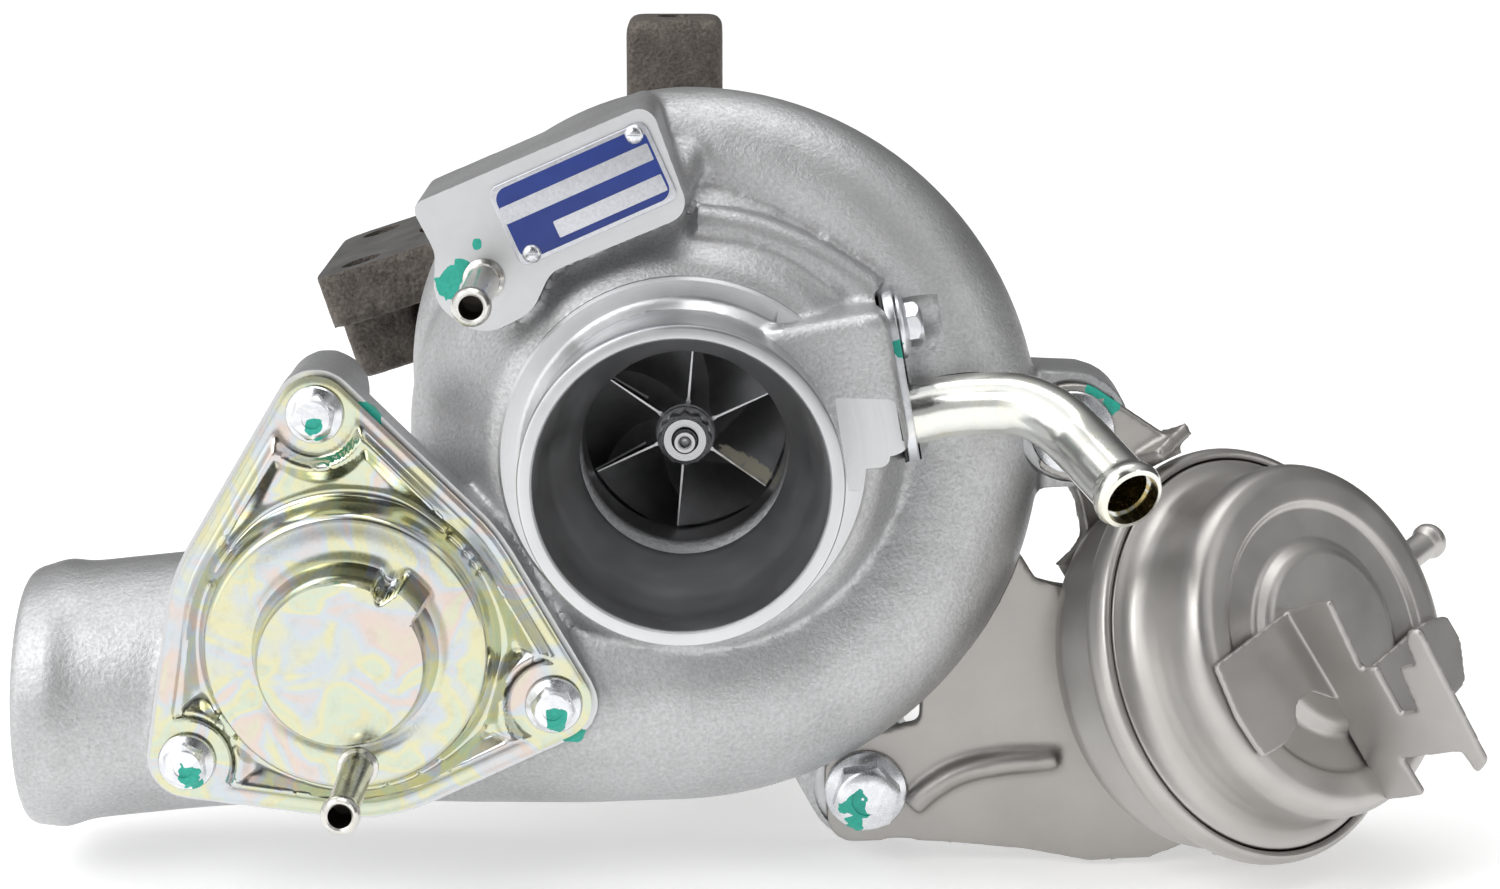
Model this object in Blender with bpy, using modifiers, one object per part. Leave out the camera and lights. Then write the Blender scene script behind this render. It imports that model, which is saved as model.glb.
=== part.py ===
"""Turbocharger for a two-litre petrol engine, modelled as its separate pieces.

Every piece is placed in the turbo's own axis frame, whose origin is the centre of the compressor
inlet rim: the shaft runs along Y, the inlet faces -Y, and Z is up.  An empty carries that frame,
so that the world origin is the centre of the turbine inlet port on the exhaust manifold flange.
Sizes are written in millimetres, and MM turns them into Blender's metres.
"""
import math

import bmesh
import bpy
from mathutils import Matrix, Vector

MM = 0.001
GAP = 0.3                       # clearance left between touching pieces
SEGMENTS = 24                   # steps of a large turned piece
SMALL_SEGMENTS = 10             # steps of a nipple, a pin or a bolt

# ---- shaft line -------------------------------------------------------------------------------
RIM_RADIUS = 31.75              # compressor inlet, for a 63.5 mm hose
RIM_BORE = 28.6
THROAT_RADIUS = 20.9
NECK_FACE_Y = 24.5              # machined step behind the inlet neck
SLOT_FRONT_Y = 67.5             # diffuser slot
BACKPLATE_Y = 72.3
BACKPLATE_RADIUS = 51.6
BACKPLATE_THICKNESS = 4.6
JOURNAL_RADIUS = 4.0
STUB_RADIUS = 2.5
WHEEL_NOSE_Y = 50.5
WHEEL_BACK_Y = 71.6
WHEEL_TIP_RADIUS = 28.4
INDUCER_RADIUS = 20.2
BLADE_COUNT = 6

# ---- compressor scroll ------------------------------------------------------------------------
SCROLL_START = 172.0            # degrees, seen from the inlet, growing clockwise
SCROLL_END = -90.0
SCROLL_BACK_Y = 70.0            # rearmost point of the passage
SCROLL_WALL = 4.0
SCROLL_SMALL = 10.0             # outer section radius at the tongue
SCROLL_LARGE = 24.3             # and where it leaves for the outlet
OUTLET_RADIUS = 27.2
OUTLET_END_X = -141.6

# ---- flanges on the front of the compressor housing ---------------------------------------------
PAD_Y = 24.0                    # machined face of the bypass flange and the nameplate pad
BYPASS_CENTRE = (-67.0, -36.8)
BYPASS_BOLTS = ((-72.8, 10.0), (-100.4, -61.5), (-26.2, -49.6))
NIPPLE_CENTRE = (-39.1, 36.6)
PLATE_CENTRE = (-19.4, 53.6)
PLATE_TILT = 24.0
TUBE_TILT = 10.0                # tube flange faces +X and a little up
TUBE_HOLE = -8.0                # places up the plate from its centre
TUBE_BOLT = 10.0
TUBE_PLATE_CENTRE = Vector((41.6, 34.0, 15.0))
TUBE_PLATE_THICKNESS = 2.2
TUBE_RADIUS = 6.25

# ---- turbine side -------------------------------------------------------------------------------
PORT = Vector((-45.0, 130.0, 36.0))
PORT_TILT = 18.0
PORT_RADIUS = 17.0
TURBINE_Y = 134.0
TURBINE_TIP = 23.4
EXDUCER_RADIUS = 20.6
TURBINE_SWEEP = 238.0           # degrees that the turbine scroll wraps round the wheel
CHAMBER_Y = 151.0               # wall that the wastegate flap seats on
OUTLET_Y = 176.0

# ---- actuator -------------------------------------------------------------------------------------
ACT_YAW = 40.2                  # degrees from -Y towards +X
ACT_PITCH = 21.4                # degrees up
ACT_FRONT = Vector((131.3, 34.0, -38.8))
ACT_DEPTH = 42.5
ACT_CRIMP = 22.4
ACT_FRONT_RADIUS = 36.8
ACT_REAR_RADIUS = 39.2
ACT_CRIMP_RADIUS = 43.9
CLIP_HEIGHT = 1.2               # sheet clip above the canister's face
CLIP_WALL = 8.8                 # its upright, from the canister's axis
BRACKET_Y = 52.0
BRACKET_THICKNESS = 3.0
EAR_RADIUS = 10.2
ACT_BOLTS = ((80.0, 0.1), (37.8, -77.2))
ROD_TRAVEL = 10.0
ROD_RADIUS = 3.0
LEVER_LENGTH = 26.0
LEVER_REACH = 83.0              # along the wastegate shaft, from the shaft line to the lever
WASTEGATE_Y = 158.0
FLAP_REACH = 33.0
FLAP_SIDE = 4.8                 # sets the flap to one side, so that no edge of it swings into its seat
LEVER_THICKNESS = 4.0
EYE_THICKNESS = 4.0
PIN_RADIUS = 3.0
SHAFT_RADIUS = 4.0

# ---- frame of the actuator and the wastegate ------------------------------------------------------
yaw = math.radians(ACT_YAW)
pitch = math.radians(ACT_PITCH)
ACT_AXIS = Vector((math.sin(yaw) * math.cos(pitch), -math.cos(yaw) * math.cos(pitch), math.sin(pitch)))
ROD_AXIS = -ACT_AXIS
ACT_REAR = ACT_FRONT - ACT_AXIS * ACT_DEPTH
GATE_AXIS = ROD_AXIS.cross(Vector((0, 1, 0))).normalized()
LEVER_AXIS = GATE_AXIS.cross(ROD_AXIS)
GATE_SIDE = Vector((-GATE_AXIS.z, 0, GATE_AXIS.x))
HALF_SWING = math.asin(ROD_TRAVEL / 2 / LEVER_LENGTH)
ROD_EYE_DROP = -LEVER_LENGTH * (1 - math.cos(HALF_SWING)) / 2


def gate_origin():
    """Point of the wastegate shaft's axis nearest the shaft line."""
    mean_arm = LEVER_LENGTH * (1 + math.cos(HALF_SWING)) / 2
    along = ACT_REAR.dot(LEVER_AXIS) + mean_arm - WASTEGATE_Y * LEVER_AXIS.y
    return GATE_SIDE * (along / GATE_SIDE.dot(LEVER_AXIS)) + Vector((0, WASTEGATE_Y, 0))


GATE = gate_origin()
PIN = (GATE + GATE_AXIS * LEVER_REACH - LEVER_AXIS * LEVER_LENGTH * math.cos(HALF_SWING)
       - ROD_AXIS * LEVER_LENGTH * math.sin(HALF_SWING))

COLOURS = {
    "cast_aluminium": ((0.56, 0.57, 0.58), 0.55, 0.85),
    "machined_aluminium": ((0.72, 0.73, 0.75), 0.3, 1.0),
    "zinc_plate": ((0.70, 0.70, 0.66), 0.28, 1.0),
    "yellow_zinc": ((0.74, 0.72, 0.58), 0.3, 1.0),
    "plated_tube": ((0.72, 0.71, 0.66), 0.22, 1.0),
    "actuator_steel": ((0.40, 0.37, 0.35), 0.45, 0.9),
    "bracket_steel": ((0.42, 0.40, 0.38), 0.5, 0.9),
    "cast_iron": ((0.16, 0.14, 0.13), 0.75, 0.6),
    "heat_steel": ((0.36, 0.33, 0.30), 0.4, 1.0),
    "wheel_alloy": ((0.22, 0.22, 0.23), 0.45, 0.9),
    "shaft_steel": ((0.55, 0.55, 0.56), 0.25, 1.0),
    "bronze": ((0.62, 0.45, 0.22), 0.35, 1.0),
    "rubber": ((0.03, 0.03, 0.03), 0.8, 0.0),
    "spring_steel": ((0.35, 0.35, 0.36), 0.35, 1.0),
    "blue_plate": ((0.03, 0.06, 0.30), 0.4, 0.3),
}


# ---- scene ------------------------------------------------------------------------------------------
def clear_scene():
    for obj in list(bpy.data.objects):
        bpy.data.objects.remove(obj, do_unlink=True)


def new_collection(name):
    collection = bpy.data.collections.new(name)
    bpy.context.scene.collection.children.link(collection)
    return collection


def make_material(name):
    colour, roughness, metallic = COLOURS[name]
    material = bpy.data.materials.new(name)
    material.use_nodes = True
    shader = material.node_tree.nodes["Principled BSDF"]
    shader.inputs["Base Color"].default_value = (*colour, 1.0)
    shader.inputs["Roughness"].default_value = roughness
    shader.inputs["Metallic"].default_value = metallic
    material.diffuse_color = (*colour, 1.0)
    return material


clear_scene()
PARTS = new_collection("turbocharger")
CUTTERS = new_collection("cutters")
TURBO = bpy.data.objects.new("turbo_axis_frame", None)
TURBO.location = -PORT * MM
PARTS.objects.link(TURBO)


# ---- placing ----------------------------------------------------------------------------------------
def frame(origin, z_axis, x_hint=(1, 0, 0)):
    """Matrix whose Z runs along z_axis and whose X is as near x_hint as it can be."""
    z = Vector(z_axis).normalized()
    x = Vector(x_hint)
    if abs(x.normalized().dot(z)) > 0.999:
        x = Vector((0, 1, 0))
    x = (x - z * x.dot(z)).normalized()
    y = z.cross(x)
    matrix = Matrix((x, y, z)).transposed().to_4x4()
    matrix.translation = Vector(origin) * MM
    return matrix


def on_shaft(y=0.0, x=0.0, z=0.0):
    """Frame whose Z points out of the inlet and whose X is the turbo's X."""
    return frame((x, y, z), (0, -1, 0))


def add_object(name, data, place, material=None):
    """Link a piece, or a cutter when it has no material, in the turbo's axis frame."""
    obj = bpy.data.objects.new(name, data)
    obj.parent = TURBO
    obj.matrix_basis = place
    if material:
        PARTS.objects.link(obj)
        data.materials.append(make_material_once(material))
    else:
        CUTTERS.objects.link(obj)
        obj.display_type = "WIRE"
        obj.hide_render = True
    return obj


def make_material_once(name):
    return bpy.data.materials.get(name) or make_material(name)


def mesh_from(bm, name):
    mesh = bpy.data.meshes.new(name)
    bm.to_mesh(mesh)
    bm.free()
    return mesh


def smooth(obj, degrees=35):
    obj.data.shade_smooth()
    obj.data.set_sharp_from_angle(angle=math.radians(degrees))
    return obj


# ---- shapes -----------------------------------------------------------------------------------------
def turned(name, profile, place, material=None, steps=SEGMENTS):
    """Turn (radius, depth) points about the frame's Z; depth is measured against Z.

    The points run down the outer side first.  A profile that starts and ends on the axis is
    solid, and any other is closed into a ring.
    """
    bm = bmesh.new()
    verts = [bm.verts.new((radius * MM, 0, -depth * MM)) for radius, depth in profile]
    for first, second in zip(verts, verts[1:]):
        bm.edges.new((first, second))
    if profile[0][0] > 0 or profile[-1][0] > 0:
        bm.edges.new((verts[-1], verts[0]))
    obj = add_object(name, mesh_from(bm, name), place, material)
    screw = obj.modifiers.new("turn", "SCREW")
    screw.steps = steps
    screw.render_steps = steps
    screw.use_merge_vertices = True
    screw.merge_threshold = 0.00001
    screw.use_smooth_shade = False
    return obj


def disc(name, radius, top, bottom, place, material=None, steps=SEGMENTS):
    profile = [(0, top), (radius, top), (radius, bottom), (0, bottom)]
    return turned(name, profile, place, material, steps)


def ring(name, outer, inner, top, bottom, place, material=None, steps=SEGMENTS):
    profile = [(inner, top), (outer, top), (outer, bottom), (inner, bottom)]
    return turned(name, profile, place, material, steps)


def prism(name, sides, across_flats, height, place, material=None):
    """Prism with its base on the frame's origin."""
    bm = bmesh.new()
    radius = across_flats / 2 / math.cos(math.pi / sides) * MM
    centre = Matrix.Translation((0, 0, height / 2 * MM))
    bmesh.ops.create_cone(bm, cap_ends=True, segments=sides, radius1=radius, radius2=radius,
                          depth=height * MM, matrix=centre)
    return add_object(name, mesh_from(bm, name), place, material)


def block(name, size, place, material=None, bevel=0.0):
    """Box centred on the frame's origin."""
    bm = bmesh.new()
    bmesh.ops.create_cube(bm, size=1.0)
    bmesh.ops.scale(bm, vec=Vector(size) * MM, verts=bm.verts)
    obj = add_object(name, mesh_from(bm, name), place, material)
    if bevel:
        modifier = obj.modifiers.new("round", "BEVEL")
        modifier.width = bevel * MM
        modifier.segments = 2
    return obj


def loft(name, sections, place, material=None):
    """Closed skin through rings of points, capped at both ends."""
    bm = bmesh.new()
    rings = [[bm.verts.new(point * MM) for point in section] for section in sections]
    count = len(rings[0])
    for first, second in zip(rings, rings[1:]):
        for i in range(count):
            j = (i + 1) % count
            bm.faces.new((first[i], first[j], second[j], second[i]))
    bm.faces.new(rings[0])
    bm.faces.new(rings[-1])
    bmesh.ops.recalc_face_normals(bm, faces=bm.faces)
    return add_object(name, mesh_from(bm, name), place, material)


def curve_mesh(curve, name):
    """Mesh of a curve, with its loose caps welded on."""
    guide = bpy.data.objects.new(name + "_guide", curve)
    CUTTERS.objects.link(guide)
    bpy.context.view_layer.update()
    evaluated = guide.evaluated_get(bpy.context.evaluated_depsgraph_get())
    mesh = bpy.data.meshes.new_from_object(evaluated)
    bpy.data.objects.remove(guide)
    bm = bmesh.new()
    bm.from_mesh(mesh)
    bmesh.ops.remove_doubles(bm, verts=bm.verts, dist=0.000005)
    bmesh.ops.recalc_face_normals(bm, faces=bm.faces)
    bm.to_mesh(mesh)
    bm.free()
    mesh.materials.clear()
    return mesh


def plate(name, outline, thickness, place, material=None):
    """Flat plate with its top face on the frame's XY plane and its thickness below it."""
    curve = bpy.data.curves.new(name, "CURVE")
    curve.dimensions = "2D"
    curve.fill_mode = "BOTH"
    curve.extrude = thickness / 2 * MM
    spline = curve.splines.new("POLY")
    spline.points.add(len(outline) - 1)
    for point, (x, y) in zip(spline.points, outline):
        point.co = (x * MM, y * MM, 0, 1)
    spline.use_cyclic_u = True
    mesh = curve_mesh(curve, name)
    mesh.transform(Matrix.Translation((0, 0, -thickness / 2 * MM)))
    return add_object(name, mesh, place, material)


def rod(name, points, radius, place, material=None, sides=3, smooth_steps=0):
    """Round rod or wire along points, through a smooth curve when smooth_steps is set."""
    route = smooth_route(points, smooth_steps) if smooth_steps else [Vector(p) for p in points]
    curve = bpy.data.curves.new(name, "CURVE")
    curve.dimensions = "3D"
    curve.bevel_depth = radius * MM
    curve.bevel_resolution = sides
    curve.use_fill_caps = True
    spline = curve.splines.new("POLY")
    spline.points.add(len(route) - 1)
    for point, target in zip(spline.points, route):
        point.co = (*(target * MM), 1)
    return add_object(name, curve_mesh(curve, name), place, material)


def smooth_route(points, steps):
    """Catmull-Rom curve through the points."""
    points = [Vector(p) for p in points]
    padded = [2 * points[0] - points[1]] + points + [2 * points[-1] - points[-2]]
    route = []
    for a, b, c, d in zip(padded, padded[1:], padded[2:], padded[3:]):
        for i in range(steps):
            t = i / steps
            route.append(0.5 * (2 * b + (c - a) * t + (2 * a - 5 * b + 4 * c - d) * t ** 2
                                + (3 * b - a - 3 * c + d) * t ** 3))
    return route + [points[-1]]


def combine(target, tools, operation):
    for tool in tools:
        modifier = target.modifiers.new(operation.lower(), "BOOLEAN")
        modifier.operation = operation
        modifier.solver = "EXACT"
        modifier.object = tool
    return target


def join(target, *tools):
    return combine(target, tools, "UNION")


def cut(target, *tools):
    return combine(target, tools, "DIFFERENCE")


# ---- outlines ---------------------------------------------------------------------------------------
def hull_outline(circles, step_degrees=30):
    """Outline of a band stretched round circles given as (x, y, radius)."""
    points = []
    for x, y, radius in circles:
        for i in range(round(360 / step_degrees)):
            angle = math.radians(i * step_degrees)
            points.append((x + radius * math.cos(angle), y + radius * math.sin(angle)))
    points.sort()
    return half_hull(points) + half_hull(points[::-1])


def half_hull(points):
    hull = []
    for point in points:
        while len(hull) > 1 and turn(hull[-2], hull[-1], point) <= 1e-9:
            hull.pop()
        hull.append(point)
    return hull[:-1]


def turn(a, b, c):
    return (b[0] - a[0]) * (c[1] - a[1]) - (b[1] - a[1]) * (c[0] - a[0])


def rounded_outline(corners, steps=2):
    """Outline through (x, y, radius) corners, each rounded by an arc of that radius."""
    outline = []
    for i, (x, y, radius) in enumerate(corners):
        corner = Vector((x, y))
        before = Vector(corners[i - 1][:2]) - corner
        after = Vector(corners[(i + 1) % len(corners)][:2]) - corner
        if not radius:
            outline.append((x, y))
            continue
        half = before.angle(after) / 2
        reach = min(radius / math.tan(half), before.length * 0.45, after.length * 0.45)
        start = corner + before.normalized() * reach
        end = corner + after.normalized() * reach
        for k in range(steps + 1):
            t = k / steps
            point = start * (1 - t) ** 2 + corner * 2 * t * (1 - t) + end * t ** 2
            outline.append((point.x, point.y))
    return outline


# ---- compressor housing -----------------------------------------------------------------------------
def scroll_outer(angle):
    """Outer radius of the scroll at an angle in degrees."""
    if angle > 90:
        return 70.7 - 11.0 * ((angle - 90) / 72) ** 1.3
    return 70.7 + 6.6 * ((90 - angle) / 180) ** 1.3


def scroll_sections(shrink, sides, steps):
    """Rings of the scroll and its outlet pipe, made smaller by shrink."""
    sections = []
    for i in range(steps + 1):
        part = i / steps
        angle = SCROLL_START + (SCROLL_END - SCROLL_START) * part
        outer = SCROLL_SMALL + (SCROLL_LARGE - SCROLL_SMALL) * part
        centre = scroll_outer(angle) - outer
        depth = SCROLL_BACK_Y - (outer - SCROLL_WALL)
        radial = Vector((math.cos(math.radians(angle)), 0, math.sin(math.radians(angle))))
        middle = radial * centre + Vector((0, depth, 0))
        sections.append(section_ring(middle, radial, outer - shrink, sides))
    return sections + outlet_sections(shrink, sides)


def outlet_sections(shrink, sides):
    """Rings of the outlet pipe, from (x, y, z, radius) along its centre line."""
    stations = [
        (-22, 50.3, -53.2, 25.0), (-45, 52.5, -53.0, 26.0), (-70, 55.5, -52.8, 26.8),
        (-95, 57.0, -53.6, 27.2), (-110, 57.0, -54.9, 27.2), (-127, 57.0, -56.6, 27.2),
        (-130, 57.0, -56.9, 28.4), (-134, 57.0, -57.3, 28.4), (-137, 57.0, -57.6, 27.2),
        (OUTLET_END_X, 57.0, -58.0, 26.6),
    ]
    down = Vector((0, 0, -1))
    rings = []
    for x, y, z, radius in stations:
        bead = radius > OUTLET_RADIUS and shrink > 0
        size = OUTLET_RADIUS if bead else radius
        rings.append(section_ring(Vector((x, y, z)), down, size - shrink, sides))
    return rings


def section_ring(middle, radial, radius, sides):
    ring_points = []
    for k in range(sides):
        turn_angle = 2 * math.pi * k / sides
        offset = radial * math.cos(turn_angle) + Vector((0, 1, 0)) * math.sin(turn_angle)
        ring_points.append(middle + offset * radius)
    return ring_points


def scroll_void():
    """Passage inside the scroll, run out past the outlet's end."""
    sections = scroll_sections(SCROLL_WALL, 10, 14)
    last = sections[-1]
    sections.append([point + Vector((-10, 0, 0)) for point in last])
    return loft("scroll_passage", sections, Matrix())


def inlet_body(name):
    """Neck, machined step and the dished front of the housing."""
    profile = [
        (0, 0), (RIM_RADIUS - 0.6, 0), (RIM_RADIUS, 0.8), (RIM_RADIUS, 4.5), (30.8, 6.0),
        (30.8, NECK_FACE_Y - 2.5), (32.5, NECK_FACE_Y), (36.5, NECK_FACE_Y), (39.0, 27.0),
        (45.0, 35.0), (52.0, 44.0), (57.0, 52.0), (57.5, 62.0), (56.5, 79.5), (0, 79.5),
    ]
    return turned(name, profile, on_shaft(), "cast_aluminium")


def inlet_bore():
    """Bowl, throat with its recirculation groove, and the wheel's shroud."""
    profile = [
        (0, -2), (RIM_BORE, -2), (RIM_BORE, 1), (27.6, 12), (24.0, 24), (THROAT_RADIUS, 30),
        (THROAT_RADIUS, 32), (24.5, 34), (24.5, 41), (THROAT_RADIUS, 43.5), (20.7, 53),
        (21.4, 58), (23.2, 62.5), (26.0, 65.8), (30.0, SLOT_FRONT_Y), (50.5, SLOT_FRONT_Y),
        (50.5, 72.0), (BACKPLATE_RADIUS + GAP, 72.0), (BACKPLATE_RADIUS + GAP, 77.1),
        (54.0, 77.1), (54.0, 78.6), (52.6, 78.6), (52.6, 81), (0, 81),
    ]
    return turned("inlet_bore", profile, on_shaft())


def bypass_outline(grow):
    lobes = [(x, z, 8.6 + grow) for x, z in BYPASS_BOLTS]
    centre_x, centre_z = BYPASS_CENTRE
    return hull_outline(lobes + [(centre_x, centre_z, 37.6 + grow)])


def nameplate_outline():
    corners = [
        (-53.4, 51.3, 2), (-8.2, 70.6, 2), (-5.4, 69.2, 2), (1.0, 51.6, 3), (-0.6, 48.6, 3),
        (-26.0, 38.0, 5), (-29.6, 30.0, 8), (-39.5, 25.0, 8), (-49.3, 31.5, 8), (-48.6, 42.0, 6),
    ]
    return rounded_outline(corners)


def housing_pads():
    """Bosses cast on the front: bypass flange, nameplate pad, tube lug, actuator lugs."""
    centre_x, centre_z = BYPASS_CENTRE
    pads = [
        plate("bypass_flange", bypass_outline(0), 9.0, on_shaft(PAD_Y)),
        disc("bypass_body", 33.0, 5.0, 34.0, on_shaft(PAD_Y, centre_x, centre_z)),
        plate("nameplate_pad", nameplate_outline(), 34.0, on_shaft(PAD_Y)),
        block("tube_lug", (26, 34, 30), frame((28.5, 36.5, 14.0), (-0.176, 0, 0.985), (0.985, 0, 0.176)),
              bevel=3.0),
    ]
    for x, z in BYPASS_BOLTS:
        pads.append(disc("bypass_boss", 8.4, 5.0, 24.0, on_shaft(PAD_Y, x, z), steps=16))
    for x, z in ACT_BOLTS:
        inward = -Vector((x, 0, z)).normalized()
        lug = hull_outline([(x, z, EAR_RADIUS + 2), (x + inward.x * 16, z + inward.z * 16, 13.0)])
        pads.append(plate("actuator_lug", lug, 16.0, on_shaft(BRACKET_Y + BRACKET_THICKNESS + GAP)))
    return pads


def bolt_hole(name, radius, depth, place):
    return disc(name, radius, -3, depth, place, steps=SMALL_SEGMENTS)


def housing_holes():
    centre_x, centre_z = BYPASS_CENTRE
    valve = on_shaft(PAD_Y, centre_x, centre_z)
    nipple_x, nipple_z = NIPPLE_CENTRE
    holes = [
        disc("valve_chamber", 24.0, -2.0, 9.0, valve),
        disc("valve_port", 10.5, 8.0, 24.0, valve, steps=16),
        rod("bypass_return", [(-52, 30, -28), (-22, 38, -12)], 4.5, Matrix()),
        bolt_hole("nipple_bore", 3.6, 12.0, on_shaft(PAD_Y, nipple_x, nipple_z)),
        rod("nipple_feed", [(nipple_x, PAD_Y + 10, nipple_z), (nipple_x, 62, nipple_z + 6)], 1.8, Matrix()),
        disc("tube_bore", TUBE_RADIUS + 0.6, -20, 16, tube_plate_frame(TUBE_HOLE), steps=16),
        bolt_hole("tube_bolt_hole", 3.3, 14.0, tube_plate_frame(TUBE_BOLT)),
        plate("tube_flange_room", hull_outline([(TUBE_HOLE, 0, 10.4), (TUBE_BOLT, 0, 8.4)]), 14.0,
              tube_plate_frame(0, 14.05)),
    ]
    for x, z in BYPASS_BOLTS:
        holes.append(bolt_hole("bypass_tapping", 2.8, 15.0, on_shaft(PAD_Y, x, z)))
    for x, z in ACT_BOLTS:
        face = BRACKET_Y + BRACKET_THICKNESS + GAP
        holes.append(bolt_hole("actuator_tapping", 4.3, 13.0, on_shaft(face, x, z)))
        holes.append(disc("actuator_spotface", EAR_RADIUS + 0.7, -30, 0, on_shaft(face, x, z), steps=16))
    holes.append(arm_block("arm_room", 1.6))
    for x, z in rivet_places():
        holes.append(bolt_hole("rivet_hole", 1.3, 5.0, on_shaft(PAD_Y, x, z)))
    return holes


def compressor_housing():
    housing = inlet_body("compressor_housing")
    scroll = loft("scroll_skin", scroll_sections(0, 14, 18), Matrix())
    join(housing, scroll, *housing_pads())
    cut(housing, scroll_void(), inlet_bore(), *housing_holes())
    return smooth(housing)


# ---- pieces on the compressor housing ---------------------------------------------------------------
def backplate_group():
    rear = BACKPLATE_Y + BACKPLATE_THICKNESS
    groove = 1.4
    profile = [
        (8.4, BACKPLATE_Y), (BACKPLATE_RADIUS, BACKPLATE_Y), (BACKPLATE_RADIUS, 73.5),
        (BACKPLATE_RADIUS - groove, 73.5), (BACKPLATE_RADIUS - groove, 75.5), (BACKPLATE_RADIUS, 75.5),
        (BACKPLATE_RADIUS, rear), (8.4, rear),
    ]
    smooth(turned("compressor_backplate", profile, on_shaft(), "machined_aluminium"))
    seal = ring("backplate_o_ring", BACKPLATE_RADIUS, BACKPLATE_RADIUS - groove + 0.05, 73.7, 75.3,
                on_shaft(), "rubber")
    smooth(seal)
    clip = ring("housing_snap_ring", 53.7, 48.6, 77.3, 78.4, on_shaft(), "spring_steel")
    cut(clip, block("snap_ring_gap", (9, 12, 6), on_shaft(78, 0, -51)))
    smooth(clip)


def flange_bolt(name, place, across, flange, shank, length, material):
    """Hex head on a flange, with its bearing face on the frame's origin."""
    head = across * 0.62
    profile = [
        (0, -head), (across * 0.40, -head), (across * 0.46, -head + 0.6), (across * 0.46, -1.9),
        (flange - 0.5, -1.2), (flange, -0.7), (flange, 0), (shank, 0), (shank, length - 1),
        (shank - 0.8, length), (0, length),
    ]
    bolt = turned(name, profile, place, material, SMALL_SEGMENTS)
    join(bolt, prism(name + "_hex", 6, across, head - 0.5, place))
    return smooth(bolt)


def bypass_cover():
    """Pressed cover: a flat base with three lobes under a stepped dome."""
    centre_x, centre_z = BYPASS_CENTRE
    axis = on_shaft(PAD_Y, centre_x, centre_z)
    dome = [
        (0, -20.0), (16.4, -19.6), (18.0, -18.2), (18.6, -11.2), (19.6, -10.2), (27.8, -9.8),
        (29.4, -8.5), (29.6, -4.0), (31.5, -4.4), (33.5, -3.2), (33.5, -1.4), (28.0, -1.4),
        (28.0, -7.6), (26.6, -8.6), (17.2, -9.0), (16.8, -17.6), (15.8, -18.4), (0, -18.8),
    ]
    cover = plate("bypass_cover", bypass_outline(-1.2), 1.6, on_shaft(PAD_Y - 0.7 - 1.6), "yellow_zinc")
    join(cover, turned("cover_dome", dome, axis))
    cut(cover, disc("cover_mouth", 27.4, -6.0, 2.0, axis))
    for x, z in BYPASS_BOLTS:
        cut(cover, disc("cover_hole", 2.9, -6, 1, on_shaft(PAD_Y, x, z), steps=SMALL_SEGMENTS))
    return smooth(cover)


def bypass_group():
    """Pressure-balanced recirculation valve and the cover that holds its spring."""
    centre_x, centre_z = BYPASS_CENTRE
    axis = on_shaft(PAD_Y, centre_x, centre_z)
    cover = bypass_cover()
    nipple_place = on_shaft(13.5, -65.0, -60.3)
    cut(cover, disc("cover_nipple_hole", 3.3, -2, 3, nipple_place, steps=SMALL_SEGMENTS))
    nipple("bypass_nipple", nipple_place, 32.0, 3.0, 0.6)
    for i, (x, z) in enumerate(BYPASS_BOLTS, 1):
        seat = on_shaft(PAD_Y - 0.7 - 1.6 - GAP, x, z)
        flange_bolt(f"bypass_bolt_{i}", seat, 8.0, 5.8, 2.5, 14.0, "zinc_plate")
    diaphragm = [(13.4, -3.0), (20.0, -0.65), (27.0, -0.65), (27.0, -GAP), (20.0, -GAP), (13.4, -2.3)]
    smooth(turned("bypass_diaphragm", diaphragm, axis, "rubber", 24))
    valve = [
        (0, -4.6), (12.6, -4.6), (12.6, -3.4), (4.5, -3.4), (4.5, 4.4), (13.0, 5.6), (13.0, 8.6),
        (0, 8.6),
    ]
    smooth(turned("bypass_valve", valve, axis, "machined_aluminium", 24))
    coil = helix(10.5, -17.0, -6.4, 4)
    smooth(rod("bypass_spring", coil, 0.9, axis, "spring_steel", sides=0), 60)


def helix(radius, top, bottom, turns, per_turn=10):
    """Points of a coil about the frame's Z, from depth top to depth bottom."""
    count = turns * per_turn
    points = []
    for i in range(count + 1):
        angle = 2 * math.pi * i / per_turn
        depth = top + (bottom - top) * i / count
        points.append(Vector((radius * math.cos(angle), radius * math.sin(angle), -depth)))
    return points


def nipple(name, place, length, bore_depth, flange):
    """Hose nipple with a rounded bead, standing on the frame's origin along Z."""
    profile = [
        (2.3, -length), (3.1, -length), (3.8, -length + 1.4), (3.8, -length + 2.6), (3.2, -length + 4.6),
        (3.2, -flange), (4.2, -flange), (4.2, -0.05), (3.0, -0.05), (3.0, bore_depth), (2.3, bore_depth),
    ]
    return smooth(turned(name, profile, place, "zinc_plate", SMALL_SEGMENTS))


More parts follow.
